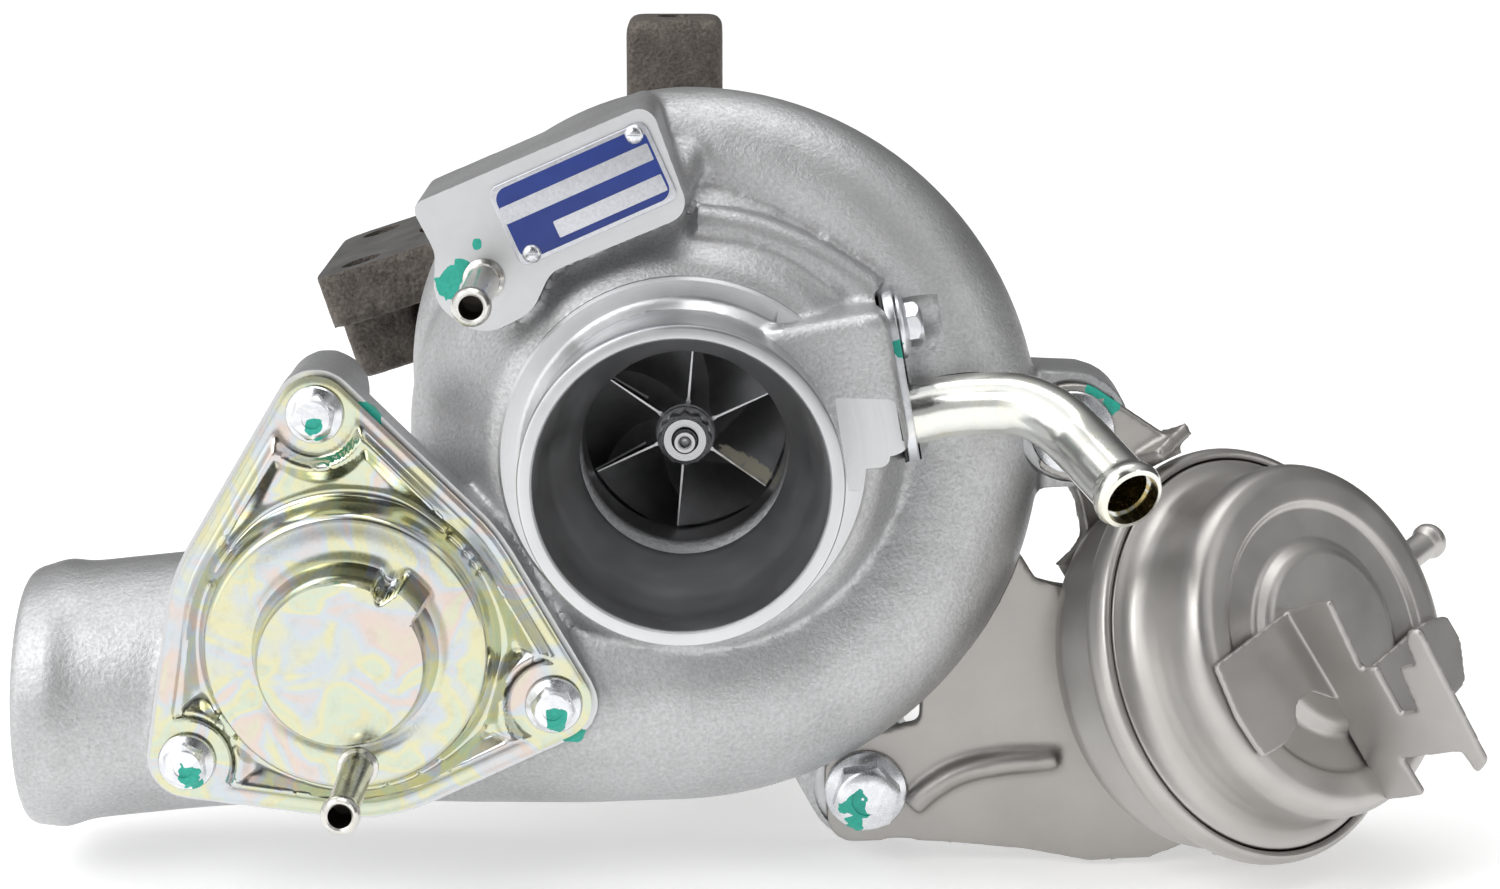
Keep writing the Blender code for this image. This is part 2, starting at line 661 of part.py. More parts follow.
def nameplate_group():
    x, z = PLATE_CENTRE
    tilt = math.radians(PLATE_TILT)
    place = frame((x, PAD_Y - 1.1, z), (0, -1, 0), (math.cos(tilt), 0, math.sin(tilt)))
    corners = [(-17.0, -8.4, 1.6), (17.0, -8.4, 1.6), (17.0, 8.4, 1.6), (-17.0, 8.4, 1.6)]
    label = plate("nameplate", rounded_outline(corners), 0.8, place, "blue_plate")
    for i, (hole_x, hole_z) in enumerate(rivet_places(), 1):
        rivet_place = on_shaft(PAD_Y - 1.1 - GAP, hole_x, hole_z)
        cut(label, disc("rivet_clearance", 1.3, -2, 2, rivet_place, steps=SMALL_SEGMENTS))
        profile = [(0, -0.9), (1.2, -0.7), (1.9, 0), (1.0, 0), (1.0, 5.0), (0, 5.0)]
        smooth(turned(f"nameplate_rivet_{i}", profile, rivet_place, "zinc_plate", SMALL_SEGMENTS))
    nipple_x, nipple_z = NIPPLE_CENTRE
    nipple("boost_nipple", on_shaft(PAD_Y - GAP, nipple_x, nipple_z), 33.0, 10.0, 0.5)


def tube_plate_frame(up, out=0.0):
    """Frame on the lug's side face: Z points away from the housing, X up along the plate."""
    tilt = math.radians(TUBE_TILT)
    normal = Vector((math.cos(tilt), 0, math.sin(tilt)))
    along = Vector((-normal.z, 0, normal.x))
    return frame(TUBE_PLATE_CENTRE + along * up + normal * out, normal, along)


def bleed_tube_group():
    """Bent hose tube on its own two-eyed flange, bolted to the side of the housing."""
    top = 0.5 + GAP + TUBE_PLATE_THICKNESS
    outline = hull_outline([(TUBE_HOLE, 0, 9.6), (TUBE_BOLT, 0, 7.6)])
    seal_outline = hull_outline([(TUBE_HOLE, 0, 9.2), (TUBE_BOLT, 0, 7.2)])
    seal = plate("tube_gasket", seal_outline, 0.5, tube_plate_frame(0, 0.5 + GAP / 2), "rubber")
    flange = plate("tube_flange", outline, TUBE_PLATE_THICKNESS, tube_plate_frame(0, top), "plated_tube")
    for piece, radius in ((seal, TUBE_RADIUS + GAP), (flange, TUBE_RADIUS + 0.1)):
        cut(piece, disc("tube_clearance", radius, -6, 6, tube_plate_frame(TUBE_HOLE), steps=16))
        cut(piece, disc("tube_bolt_clearance", 3.3, -6, 6, tube_plate_frame(TUBE_BOLT), steps=SMALL_SEGMENTS))
        smooth(piece)
    bolt_seat = tube_plate_frame(TUBE_BOLT, top + GAP)
    flange_bolt("tube_flange_bolt", bolt_seat, 8.0, 6.6, 3.0, 13.0, "zinc_plate")
    start = tube_plate_frame(TUBE_HOLE, -6.0).translation / MM
    seat = tube_plate_frame(TUBE_HOLE, top).translation / MM
    route = [
        start, seat, (52.0, 34.0, 8.9), (60.5, 32.6, 10.0), (67.5, 30.8, 10.0), (73.5, 27.4, 8.0),
        (78.5, 22.5, 4.4), (82.6, 14.0, 0.9), (86.4, 6.2, -2.4),
    ]
    tube = rod("bleed_tube", route, TUBE_RADIUS, Matrix(), "plated_tube", 2, 2)
    mouth = Vector(route[-1]) - Vector(route[-2])
    bead = [(5.0, -1.5), (6.5, -1.5), (7.2, -0.5), (7.2, 0.9), (6.3, 2.2), (5.0, 2.2)]
    join(tube, turned("tube_bead", bead, frame(route[-1], mouth), steps=16))
    bore_route = [Vector(start) * 2 - seat] + route + [Vector(route[-1]) + mouth]
    cut(tube, rod("tube_inside", bore_route, TUBE_RADIUS - 1.0, Matrix(), None, 1, 2))
    smooth(tube)


# ---- actuator ---------------------------------------------------------------------------------------
def act_frame(depth=0.0):
    """Frame on the canister's axis: Z points out of its front face."""
    return frame(ACT_FRONT - ACT_AXIS * depth, ACT_AXIS)


def bracket_panel(name, outline, depth):
    """Panel parallel to the canister's rear face, drawn from (towards, up) points.

    Towards runs from the canister's axis to the front panel, and up runs along the bend.
    """
    flipped = [(towards, -up) for towards, up in outline]
    place = frame(ACT_FRONT - ACT_AXIS * depth, ACT_AXIS, -LEVER_AXIS)
    return plate(name, flipped, BRACKET_THICKNESS, place)


def arm_block(name, grow):
    """Bent-up edge of the bracket, which runs back past the housing's upper lug."""
    start = ACT_FRONT - ACT_AXIS * (ACT_DEPTH + GAP + BRACKET_THICKNESS - 0.6) + LEVER_AXIS * 7 - GATE_AXIS * 47.4
    size = (11.6 + grow, BRACKET_THICKNESS + grow, 29 + grow)
    return block(name, size, frame(start + ACT_AXIS * 14.5, ACT_AXIS, LEVER_AXIS))


def actuator_bracket():
    """Cranked sheet: one panel on the housing's two lugs, one behind the canister."""
    front = [
        (48.9, -62.0, 1), (49.0, -36.5, 1), (58.2, -34.3, 5), (63.5, -30.6, 4), (69.3, -25.5, 0),
        (73.0, -31.2, 0), (82.0, -34.0, 1), (114.0, -86.0, 3), (98.2, -92.3, 3), (85.5, -93.4, 8), (72.0, -90.8, 8),
        (45.1, -88.2, 6), (30.0, -89.5, 9), (28.5, -68.0, 9),
    ]
    rear = [
        (17.5, 36.4, 0), (6.1, 36.3, 2), (2.3, 37.7, 2), (-1.0, 44.0, 1), (-1.0, 49.0, 0), (-20.0, 49.0, 1),
        (-22.0, 38.0, 8), (-32.0, 24.0, 12), (-34.0, -10.0, 14), (-18.0, -34.0, 14), (4.0, -40.0, 8),
        (17.5, -36.0, 0),
    ]
    behind = ACT_DEPTH + GAP
    bracket = plate("actuator_bracket", rounded_outline(front), BRACKET_THICKNESS, on_shaft(BRACKET_Y),
                    "bracket_steel")
    ear = hull_outline([(*ACT_BOLTS[0], EAR_RADIUS), (98.5, -5.5, 4.5), (91.0, -10.0, 4.0)])
    upper = plate("bracket_ear", ear, BRACKET_THICKNESS, on_shaft(BRACKET_Y))
    back_panel = bracket_panel("bracket_back", rounded_outline(rear), behind)
    arm = arm_block("bracket_arm", 0.0)
    canister_side = disc("canister_side", 70, -20, behind + 0.5, act_frame(), steps=16)
    front_cut = disc("canister_keep", 45.0, -20, behind - 0.1, act_frame(), steps=16)
    cut(bracket, canister_side)
    join(bracket, back_panel, arm, upper)
    scroll_room = loft("scroll_room", scroll_sections(-0.5, 14, 18), Matrix())
    cut(bracket, scroll_room, front_cut, disc("rod_opening", 8.0, -2, 8, act_frame(behind)))
    for x, z in ACT_BOLTS:
        cut(bracket, disc("bracket_hole", 4.3, -6, 6, on_shaft(BRACKET_Y, x, z), steps=SMALL_SEGMENTS))
    return smooth(bracket)


def canister_front():
    edge = ACT_FRONT_RADIUS
    wall = 1.3
    crimp = ACT_CRIMP
    profile = [
        (0, -0.9), (17.6, -0.9), (20.4, 1.2), (27.4, 1.2), (28.2, 0), (edge - 3, 0.2), (edge - 1, 1.4), (edge, 4.0),
        (edge - 0.6, 10.0), (edge + 0.4, 17.0), (edge + 2.4, 19.6), (ACT_CRIMP_RADIUS - 1.4, crimp - 2.2),
        (ACT_CRIMP_RADIUS, crimp - 1.0), (ACT_CRIMP_RADIUS, crimp), (ACT_CRIMP_RADIUS - 0.6, crimp),
        (ACT_CRIMP_RADIUS - 2, crimp - 0.4), (edge + 1.4, crimp - 1.0), (edge - wall, 17.4),
        (edge - wall - 0.6, 10.0), (edge - wall, 4.6), (edge - 3.4, 2.2), (0, 2.5),
    ]
    return turned("actuator_front_shell", profile, act_frame(), "actuator_steel")


def canister_rear():
    edge = ACT_REAR_RADIUS
    top = ACT_CRIMP + 1.5
    profile = [
        (ACT_CRIMP_RADIUS - 2, top), (ACT_CRIMP_RADIUS, top), (ACT_CRIMP_RADIUS, top + 1.4),
        (edge + 1.0, top + 2.6), (edge, top + 4.6), (edge - 0.6, ACT_DEPTH - 3.4), (edge - 3.4, ACT_DEPTH),
        (4.4, ACT_DEPTH), (4.4, ACT_DEPTH - 1.4), (edge - 4.0, ACT_DEPTH - 1.4),
        (edge - 2.0, ACT_DEPTH - 3.8), (edge - 1.4, top + 4.2), (edge - 0.6, top + 1.4),
    ]
    return turned("actuator_rear_shell", profile, act_frame(), "actuator_steel")


def clip_bracket():
    """Folded clip on the canister's face: two feet either side of an upright with an arm."""
    thickness = 1.6
    face = ACT_FRONT + ACT_AXIS * (CLIP_HEIGHT + thickness)
    foot = [
        (-32.6, 14.1), (-7.6, 11.0), (-7.6, -10.4), (-14.0, -4.6), (-19.6, -4.0), (-22.6, -7.8), (-34.3, -6.9),
        (-34.9, 2.4),
    ]
    far_foot = [(-8.0, -9.4), (24.5, -12.8), (31.7, -15.5), (31.0, -22.0), (26.0, -29.0), (-8.0, -30.0)]
    upright = [
        (CLIP_HEIGHT, 11.3), (13.8, 11.2), (11.8, -4.6), (15.6, -5.2), (15.1, -16.0), (19.4, -16.2), (20.8, -6.3),
        (25.3, -6.0), (26.2, -0.7), (28.3, 1.4), (30.9, 0.6), (29.7, -15.9), (28.6, -30.3), (24.6, -32.8),
        (24.2, -27.0), (8.8, -26.0), (8.9, -35.0), (GAP, -34.8), (GAP, -22.0), (CLIP_HEIGHT, -21.4),
    ]
    clip = plate("actuator_clip_bracket", foot, thickness, frame(face, ACT_AXIS, LEVER_AXIS), "actuator_steel")
    wall = frame(ACT_FRONT - LEVER_AXIS * CLIP_WALL, -LEVER_AXIS, ACT_AXIS)
    join(clip, plate("clip_upright", upright, thickness, wall),
         plate("clip_far_foot", far_foot, thickness, frame(face, ACT_AXIS, LEVER_AXIS)))
    return smooth(clip)


def actuator_group():
    actuator_bracket()
    front = canister_front()
    smooth(canister_rear())
    outward = (LEVER_AXIS + GATE_AXIS * 0.12).normalized()
    side = ACT_FRONT - ACT_AXIS * 9.0 + outward * (ACT_FRONT_RADIUS - 2.0)
    nipple_place = frame(side, outward, ACT_AXIS)
    cut(front, disc("canister_nipple_hole", 3.3, -4, 4, nipple_place, steps=SMALL_SEGMENTS))
    smooth(front)
    nipple("actuator_nipple", frame(side + outward * 2.4, outward, ACT_AXIS), 15.0, 3.0, 0.4)
    mid = ACT_CRIMP + 0.3
    diaphragm = [
        (20.0, mid - 4.2), (32.0, mid - 4.2), (35.0, mid), (ACT_CRIMP_RADIUS - 3.0, mid),
        (ACT_CRIMP_RADIUS - 3.0, mid + 0.9), (34.4, mid + 0.9), (31.4, mid - 3.4), (20.0, mid - 3.4),
    ]
    smooth(turned("actuator_diaphragm", diaphragm, act_frame(), "rubber", 24))
    cup = [
        (0, mid - 8.0), (19.4, mid - 8.0), (19.4, mid - 3.0), (26.0, mid - 3.0), (26.0, mid - 1.8),
        (18.2, mid - 1.8), (18.2, mid - 6.8), (0, mid - 6.8),
    ]
    smooth(turned("diaphragm_cup", cup, act_frame(), "actuator_steel", 24))
    coil = helix(13.0, mid - 5.2, ACT_DEPTH - 3.2, 5, 10)
    smooth(rod("actuator_spring", coil, 1.4, act_frame(), "spring_steel", sides=0), 60)
    clip_bracket()
    for name, (x, z) in zip(("upper", "lower"), ACT_BOLTS):
        seat = on_shaft(BRACKET_Y - GAP, x, z)
        flange_bolt(f"actuator_bolt_{name}", seat, 12.6, 8.7, 4.0, 15.0, "zinc_plate")
    rod_group(mid - 6.8 + GAP)


# ---- rod and wastegate ------------------------------------------------------------------------------
def rod_group(cup_depth):
    """Cranked rod from the diaphragm cup to the eye on the lever's pin."""
    start = ACT_FRONT - ACT_AXIS * cup_depth
    exit_point = ACT_REAR + ROD_AXIS * 12
    eye = PIN + LEVER_AXIS * (ROD_EYE_DROP)
    eye_centre = eye + GATE_AXIS * (LEVER_THICKNESS / 2 + GAP + EYE_THICKNESS / 2)
    join_point = eye_centre - ROD_AXIS * 38
    route = [start, ACT_REAR + ROD_AXIS * 4, exit_point, (exit_point + join_point) / 2, join_point]
    route += [eye_centre - ROD_AXIS * before for before in (30, 22, 14)]
    smooth(rod("actuator_rod", route, ROD_RADIUS, Matrix(), "zinc_plate", 1, 3))
    along = frame(eye_centre, -ROD_AXIS, GATE_AXIS)
    flat = frame(eye_centre + GATE_AXIS * EYE_THICKNESS / 2, GATE_AXIS, ROD_AXIS)
    end = plate("rod_end", hull_outline([(0, 0, 7.5), (-11.3, 0, 3.7)]), EYE_THICKNESS, flat, "zinc_plate")
    join(end, disc("rod_barrel", 5.0, -22.0, -9.5, along, steps=12))
    cut(end, disc("rod_socket", ROD_RADIUS + GAP, -24, -13.0, along, steps=SMALL_SEGMENTS),
        disc("eye_hole", PIN_RADIUS + 0.9, -2, EYE_THICKNESS + 2, flat, steps=SMALL_SEGMENTS))
    smooth(end)
    nut = prism("rod_lock_nut", 6, 10.0, 5.0, frame(eye_centre - ROD_AXIS * (22 + GAP), -ROD_AXIS, GATE_AXIS),
                "zinc_plate")
    cut(nut, disc("nut_hole", ROD_RADIUS + GAP, -30, -20, along, steps=SMALL_SEGMENTS))


def wastegate_group():
    """Lever and pin outside, shaft through its bush, flap on its arm inside."""
    outside = GATE + GATE_AXIS * LEVER_REACH
    lever_face = frame(outside + GATE_AXIS * LEVER_THICKNESS / 2, GATE_AXIS, PIN - outside)
    reach = (PIN - outside).length
    lever = plate("wastegate_lever", hull_outline([(0, 0, 8.5), (reach, 0, 7.0)]), LEVER_THICKNESS,
                  lever_face, "heat_steel")
    cut(lever, disc("lever_shaft_hole", SHAFT_RADIUS + GAP, -3, 9, lever_face, steps=SMALL_SEGMENTS))
    pin_face = frame(PIN, GATE_AXIS, PIN - outside)
    cut(lever, disc("lever_pin_hole", PIN_RADIUS + GAP, -6, 6, pin_face, steps=SMALL_SEGMENTS))
    smooth(lever)
    top = LEVER_THICKNESS / 2 + GAP + EYE_THICKNESS + GAP + 2.2
    pin = [
        (0, -top), (PIN_RADIUS - 0.4, -top), (PIN_RADIUS, -top + 0.4), (PIN_RADIUS, -top + 1.0),
        (PIN_RADIUS - 0.7, -top + 1.0), (PIN_RADIUS - 0.7, -top + 2.0), (PIN_RADIUS, -top + 2.0),
        (PIN_RADIUS, LEVER_THICKNESS / 2 + GAP), (PIN_RADIUS + 1.6, LEVER_THICKNESS / 2 + GAP),
        (PIN_RADIUS + 1.6, LEVER_THICKNESS / 2 + 2), (0, LEVER_THICKNESS / 2 + 2),
    ]
    smooth(turned("lever_pin", pin, pin_face, "heat_steel", SMALL_SEGMENTS))
    clip = ring("lever_pin_clip", 5.2, PIN_RADIUS - 0.4, -top + 1.2, -top + 1.8, pin_face, "spring_steel",
                SMALL_SEGMENTS)
    cut(clip, block("clip_gap", (6, 3, 4), frame(PIN + GATE_AXIS * top + (PIN - outside).normalized() * 4,
                                                 GATE_AXIS, PIN - outside)))
    inner = FLAP_REACH - 5.0
    shaft_end = frame(GATE + GATE_AXIS * (LEVER_REACH + LEVER_THICKNESS / 2 + 1), GATE_AXIS)
    length = LEVER_REACH + LEVER_THICKNESS / 2 + 1 - inner
    shaft = disc("wastegate_shaft", SHAFT_RADIUS, 0, length, shaft_end, "heat_steel", SMALL_SEGMENTS)
    flap_centre = Vector((0, CHAMBER_Y + GAP, 0)) + flap_place()
    arm_start = GATE + GATE_AXIS * FLAP_REACH
    arm_end = flap_centre + Vector((0, 6.2, 0))
    join(shaft, rod("gate_arm", [arm_start, arm_end], 3.2, Matrix(), None, 2))
    smooth(shaft)
    flap_face = frame(flap_centre, (0, -1, 0))
    flap = [(0, 0), (10.0, 0), (10.0, 2.0), (5.0, 2.4), (0, 2.4)]
    smooth(turned("wastegate_flap", flap, flap_face, "heat_steel", 16))
    bush_top = LEVER_REACH - LEVER_THICKNESS / 2 - GAP
    bush_place = frame(GATE + GATE_AXIS * bush_top, GATE_AXIS)
    bush = [
        (SHAFT_RADIUS + GAP, 0), (8.0, 0), (8.0, 2.4), (6.6, 2.4), (6.6, 28.0), (SHAFT_RADIUS + GAP, 28.0),
    ]
    smooth(turned("wastegate_bush", bush, bush_place, "heat_steel", SMALL_SEGMENTS))


# ---- centre housing ---------------------------------------------------------------------------------
def bearing_group():
    rear = BACKPLATE_Y + BACKPLATE_THICKNESS + GAP
    profile = [
        (0, rear), (38.0, rear), (38.0, 84.0), (27.0, 86.0), (25.0, 97.0), (27.0, 106.0), (33.0, 109.0),
        (33.0, 113.4), (36.0, 114.6), (36.0, 117.0), (0, 117.0),
    ]
    bore = [
        (0, rear - 2), (21.1, rear - 2), (21.1, 83.1), (7.2, 83.1), (7.2, 113.1), (8.2, 113.1), (8.2, 119.0),
        (0, 119.0),
    ]
    housing = turned("bearing_housing", profile, on_shaft(), "cast_iron")
    mid = Vector((0, 96.0, 0))
    water = Vector((0, 96.6, 1.3))
    bosses = [
        disc("oil_feed_boss", 10.0, -36.0, -12.0, frame(mid, (0, 0, 1)), steps=16),
        disc("oil_drain_neck", 13.0, -36.0, -12.0, frame(mid, (0, 0, -1)), steps=16),
        plate("oil_drain_flange", hull_outline([(0, 0, 15), (-22, 0, 7.5), (22, 0, 7.5)]), 8.0,
              frame(mid - Vector((0, 0, 42)), (0, 0, -1))),
        disc("water_boss_right", 10.5, -35.0, -14.0, frame(water, (1, 0, 0)), steps=25),
        disc("water_boss_left", 10.5, -35.0, -14.0, frame(water, (-1, 0, 0)), steps=25),
    ]
    join(housing, *reversed(bosses))
    holes = [
        turned("bearing_bore", bore, on_shaft()),
        disc("oil_feed_tapping", 5.0, -40, -22, frame(mid, (0, 0, 1)), steps=SMALL_SEGMENTS),
        disc("oil_feed_drilling", 2.0, -24, -4, frame(mid, (0, 0, 1)), steps=12),
        disc("oil_drain_bore", 9.5, -46, -5, frame(mid, (0, 0, -1)), steps=16),
        disc("water_tapping_right", 6.2, -38, -20, frame(water, (1, 0, 0)), steps=SMALL_SEGMENTS),
        disc("water_tapping_left", 6.2, -38, -20, frame(water, (-1, 0, 0)), steps=SMALL_SEGMENTS),
    ]
    for side in (-22, 22):
        holes.append(disc("drain_bolt_hole", 3.4, -44, -30, frame(mid + Vector((side, 0, 0)), (0, 0, -1)),
                          steps=SMALL_SEGMENTS))
    cut(housing, *holes)
    smooth(housing)
    thrust = ring("thrust_bearing", 20.4, 5.2, 79.0, 82.4, on_shaft(), "bronze", 20)
    smooth(thrust)
    for name, front in (("front", 85.5), ("rear", 103.0)):
        smooth(ring(f"journal_bearing_{name}", 7.1, JOURNAL_RADIUS + 0.1, front, front + 8.5, on_shaft(),
                    "bronze", 20))
    shield = [
        (7.0, 117.4), (30.0, 117.4), (31.5, 118.2), (31.5, 118.6), (29.6, 118.6), (28.5, 119.0), (7.0, 119.0),
    ]
    smooth(turned("turbine_heat_shield", shield, on_shaft(), "heat_steel"))


# ---- rotor ------------------------------------------------------------------------------------------
def blade_mesh(name, count, surface, start_angle):
    """All blades of one set; surface(s, t) gives radius, depth, angle and half thickness."""
    bm = bmesh.new()
    for k in range(count):
        offset = start_angle + 2 * math.pi * k / count
        add_blade(bm, surface, offset)
    bmesh.ops.recalc_face_normals(bm, faces=bm.faces)
    return add_object(name, mesh_from(bm, name), Matrix())


def add_blade(bm, surface, offset, along=4, across=2):
    sides = []
    for sign in (-1, 1):
        grid = []
        for i in range(along + 1):
            row = []
            for j in range(across + 1):
                radius, depth, angle, half = surface(i / along, j / across)
                angle += offset + sign * half / max(radius, 1)
                row.append(bm.verts.new(Vector((radius * math.cos(angle), depth, radius * math.sin(angle))) * MM))
            grid.append(row)
        sides.append(grid)
    lower, upper = sides
    for grid in sides:
        for i in range(along):
            for j in range(across):
                bm.faces.new((grid[i][j], grid[i + 1][j], grid[i + 1][j + 1], grid[i][j + 1]))
    border = [(i, 0) for i in range(along)] + [(along, j) for j in range(across)]
    border += [(i, across) for i in range(along, 0, -1)] + [(0, j) for j in range(across, 0, -1)]
    for (i, j), (k, m) in zip(border, border[1:] + border[:1]):
        bm.faces.new((lower[i][j], lower[k][m], upper[k][m], upper[i][j]))


def hub_point(s):
    """Radius and depth of the compressor wheel's hub, from its nose (s=0) to its rim."""
    angle = s * math.pi / 2
    radius = 6.2 + (WHEEL_TIP_RADIUS - 6.2) * (1 - math.cos(angle))
    return radius, 53.0 + (WHEEL_BACK_Y - 1.2 - 53.0) * math.sin(angle)


def compressor_blade(front_share):
    """Blade surface from its leading edge (s=0) to the wheel's rim, hub (t=0) to shroud (t=1)."""
    def surface(s, t):
        s = front_share + (1 - front_share) * s
        bend = math.sin(s * math.pi / 2)
        sweep = 1 - math.cos(s * math.pi / 2)
        hub_radius, hub_depth = hub_point(s)
        hub_radius -= 0.7
        hub_depth += 0.6
        tip_radius = INDUCER_RADIUS + (WHEEL_TIP_RADIUS - INDUCER_RADIUS) * sweep
        tip_depth = 53.2 + (WHEEL_BACK_Y - 4.4 - 53.2) * bend
        angle = math.radians(-38) * (1 - s) ** 1.6 * (0.55 + 0.45 * t) + math.radians(22) * s ** 2
        return (hub_radius + (tip_radius - hub_radius) * t, hub_depth + (tip_depth - hub_depth) * t,
                angle, 0.55 - 0.25 * t)
    return surface


def turbine_blade(s, t):
    """Turbine blade from the rim (s=0) to the exducer."""
    bend = math.sin(s * math.pi / 2)
    sweep = 1 - math.cos(s * math.pi / 2)
    hub_radius = TURBINE_TIP - (TURBINE_TIP - 6.5) * bend
    hub_depth = 122.4 + 24.0 * sweep
    tip_radius = TURBINE_TIP - (TURBINE_TIP - EXDUCER_RADIUS + 0.6) * bend
    tip_depth = 129.0 + 19.5 * sweep
    angle = math.radians(42) * s ** 2 * (0.5 + 0.5 * t)
    return hub_radius + (tip_radius - hub_radius) * t, hub_depth + (tip_depth - hub_depth) * t, angle, 0.6


def rotor_group():
    hub = [
        (STUB_RADIUS + GAP, WHEEL_NOSE_Y), (6.15, WHEEL_NOSE_Y), *[hub_point(i / 8) for i in range(9)],
        (WHEEL_TIP_RADIUS, WHEEL_BACK_Y), (STUB_RADIUS + GAP, WHEEL_BACK_Y),
    ]
    wheel = turned("compressor_wheel", hub, on_shaft(), "wheel_alloy", 24)
    full = blade_mesh("full_blades", BLADE_COUNT, compressor_blade(0.0), math.radians(60))
    short = blade_mesh("splitter_blades", BLADE_COUNT, compressor_blade(0.34), math.radians(90))
    smooth(join(wheel, full, short), 30)
    nut = prism("shaft_nut", 12, 9.6, 6.2, on_shaft(WHEEL_NOSE_Y - GAP), "zinc_plate")
    cut(nut, disc("shaft_nut_bore", STUB_RADIUS + GAP, -9, 3, on_shaft(WHEEL_NOSE_Y), steps=SMALL_SEGMENTS))
    collar_front = BACKPLATE_Y + 3.4
    flinger = [
        (STUB_RADIUS + GAP, BACKPLATE_Y + 0.1 - 0.3), (8.0, BACKPLATE_Y - 0.2), (8.0, collar_front - GAP),
        (STUB_RADIUS + GAP, collar_front - GAP),
    ]
    smooth(turned("oil_flinger", flinger, on_shaft(), "shaft_steel", 16))
    collar = [
        (STUB_RADIUS + GAP, collar_front), (8.0, collar_front), (8.0, 78.6), (4.8, 78.6), (4.8, 83.0),
        (STUB_RADIUS + GAP, 83.0),
    ]
    smooth(turned("thrust_collar", collar, on_shaft(), "shaft_steel", 16))
    shaft = [
        (0, 41.5), (STUB_RADIUS - 0.4, 41.5), (STUB_RADIUS, 42.2), (STUB_RADIUS, 83.3),
        (JOURNAL_RADIUS, 83.3), (JOURNAL_RADIUS, 112.6), (7.8, 113.4), (7.8, 116.8), (6.4, 117.0),
        (6.4, 120.2), (19.0, 120.4), (TURBINE_TIP, 121.4), (TURBINE_TIP, 122.6), (16.0, 124.0),
        (11.0, 130.0), (8.4, 138.0), (7.4, 147.0), (5.4, 152.0), (0, 152.4),
    ]
    wheel = turned("turbine_wheel_shaft", shaft, on_shaft(), "shaft_steel", 24)
    join(wheel, blade_mesh("turbine_blades", 11, turbine_blade, 0.0))
    cut(wheel, disc("shaft_centre_drilling", 1.1, -3, 4, on_shaft(41.5), steps=12))
    smooth(wheel, 30)


# ---- turbine housing --------------------------------------------------------------------------------
def turbine_sections(shrink, sides):
    """Rings from the manifold port down the inlet duct and round the wheel."""
    normal = port_normal()
    along = Vector((normal.z, 0, -normal.x))
    rings = []
    entry = 196.0
    steps = 14
    first = turbine_ring(entry, 0.0, shrink, sides)
    centre = sum(first, Vector()) / sides
    radius = (first[0] - centre).length
    for part in (-0.12, 0.0, 0.35, 0.7) if shrink else (0.0, 0.35, 0.7):
        left = (1 - max(part, 0.0)) ** 2.2
        middle = PORT + (centre - PORT) * part
        middle.y = centre.y + (PORT.y - centre.y) * left
        size = radius + (PORT_RADIUS + 5.0 - shrink - radius) * left
        rings.append(section_ring(middle, -along, size, sides))
    for i in range(steps + 1):
        part = i / steps
        rings.append(turbine_ring(entry + TURBINE_SWEEP * part, part, shrink, sides))
    return rings


def turbine_ring(angle, part, shrink, sides):
    outer = 15.5 - 6.0 * part
    centre = 39.0 - 3.0 * part
    radial = Vector((math.cos(math.radians(angle)), 0, math.sin(math.radians(angle))))
    middle = radial * centre + Vector((0, TURBINE_Y, 0))
    return section_ring(middle, radial, outer - shrink, sides)


def port_normal():
    tilt = math.radians(PORT_TILT)
    return Vector((-math.sin(tilt), 0, math.cos(tilt)))


def port_frame(along=0.0, across=0.0, up=0.0):
    normal = port_normal()
    direction = Vector((normal.z, 0, -normal.x))
    origin = PORT + direction * along + Vector((0, 1, 0)) * across + normal * up
    return frame(origin, normal, direction)


def outlet_outline(grow):
    chamber = GATE_AXIS * 17
    return hull_outline([(0, 0, 30 + grow), (chamber.x, chamber.z, 33 + grow)])


FLANGE_BOLTS = [(-29, -22), (-29, 22), (29, -22), (29, 22)]
STUD_PLACES = [(-31.0, 20.0), (38.5, 10.0), (-18.0, -46.0), (39.0, -41.0)]


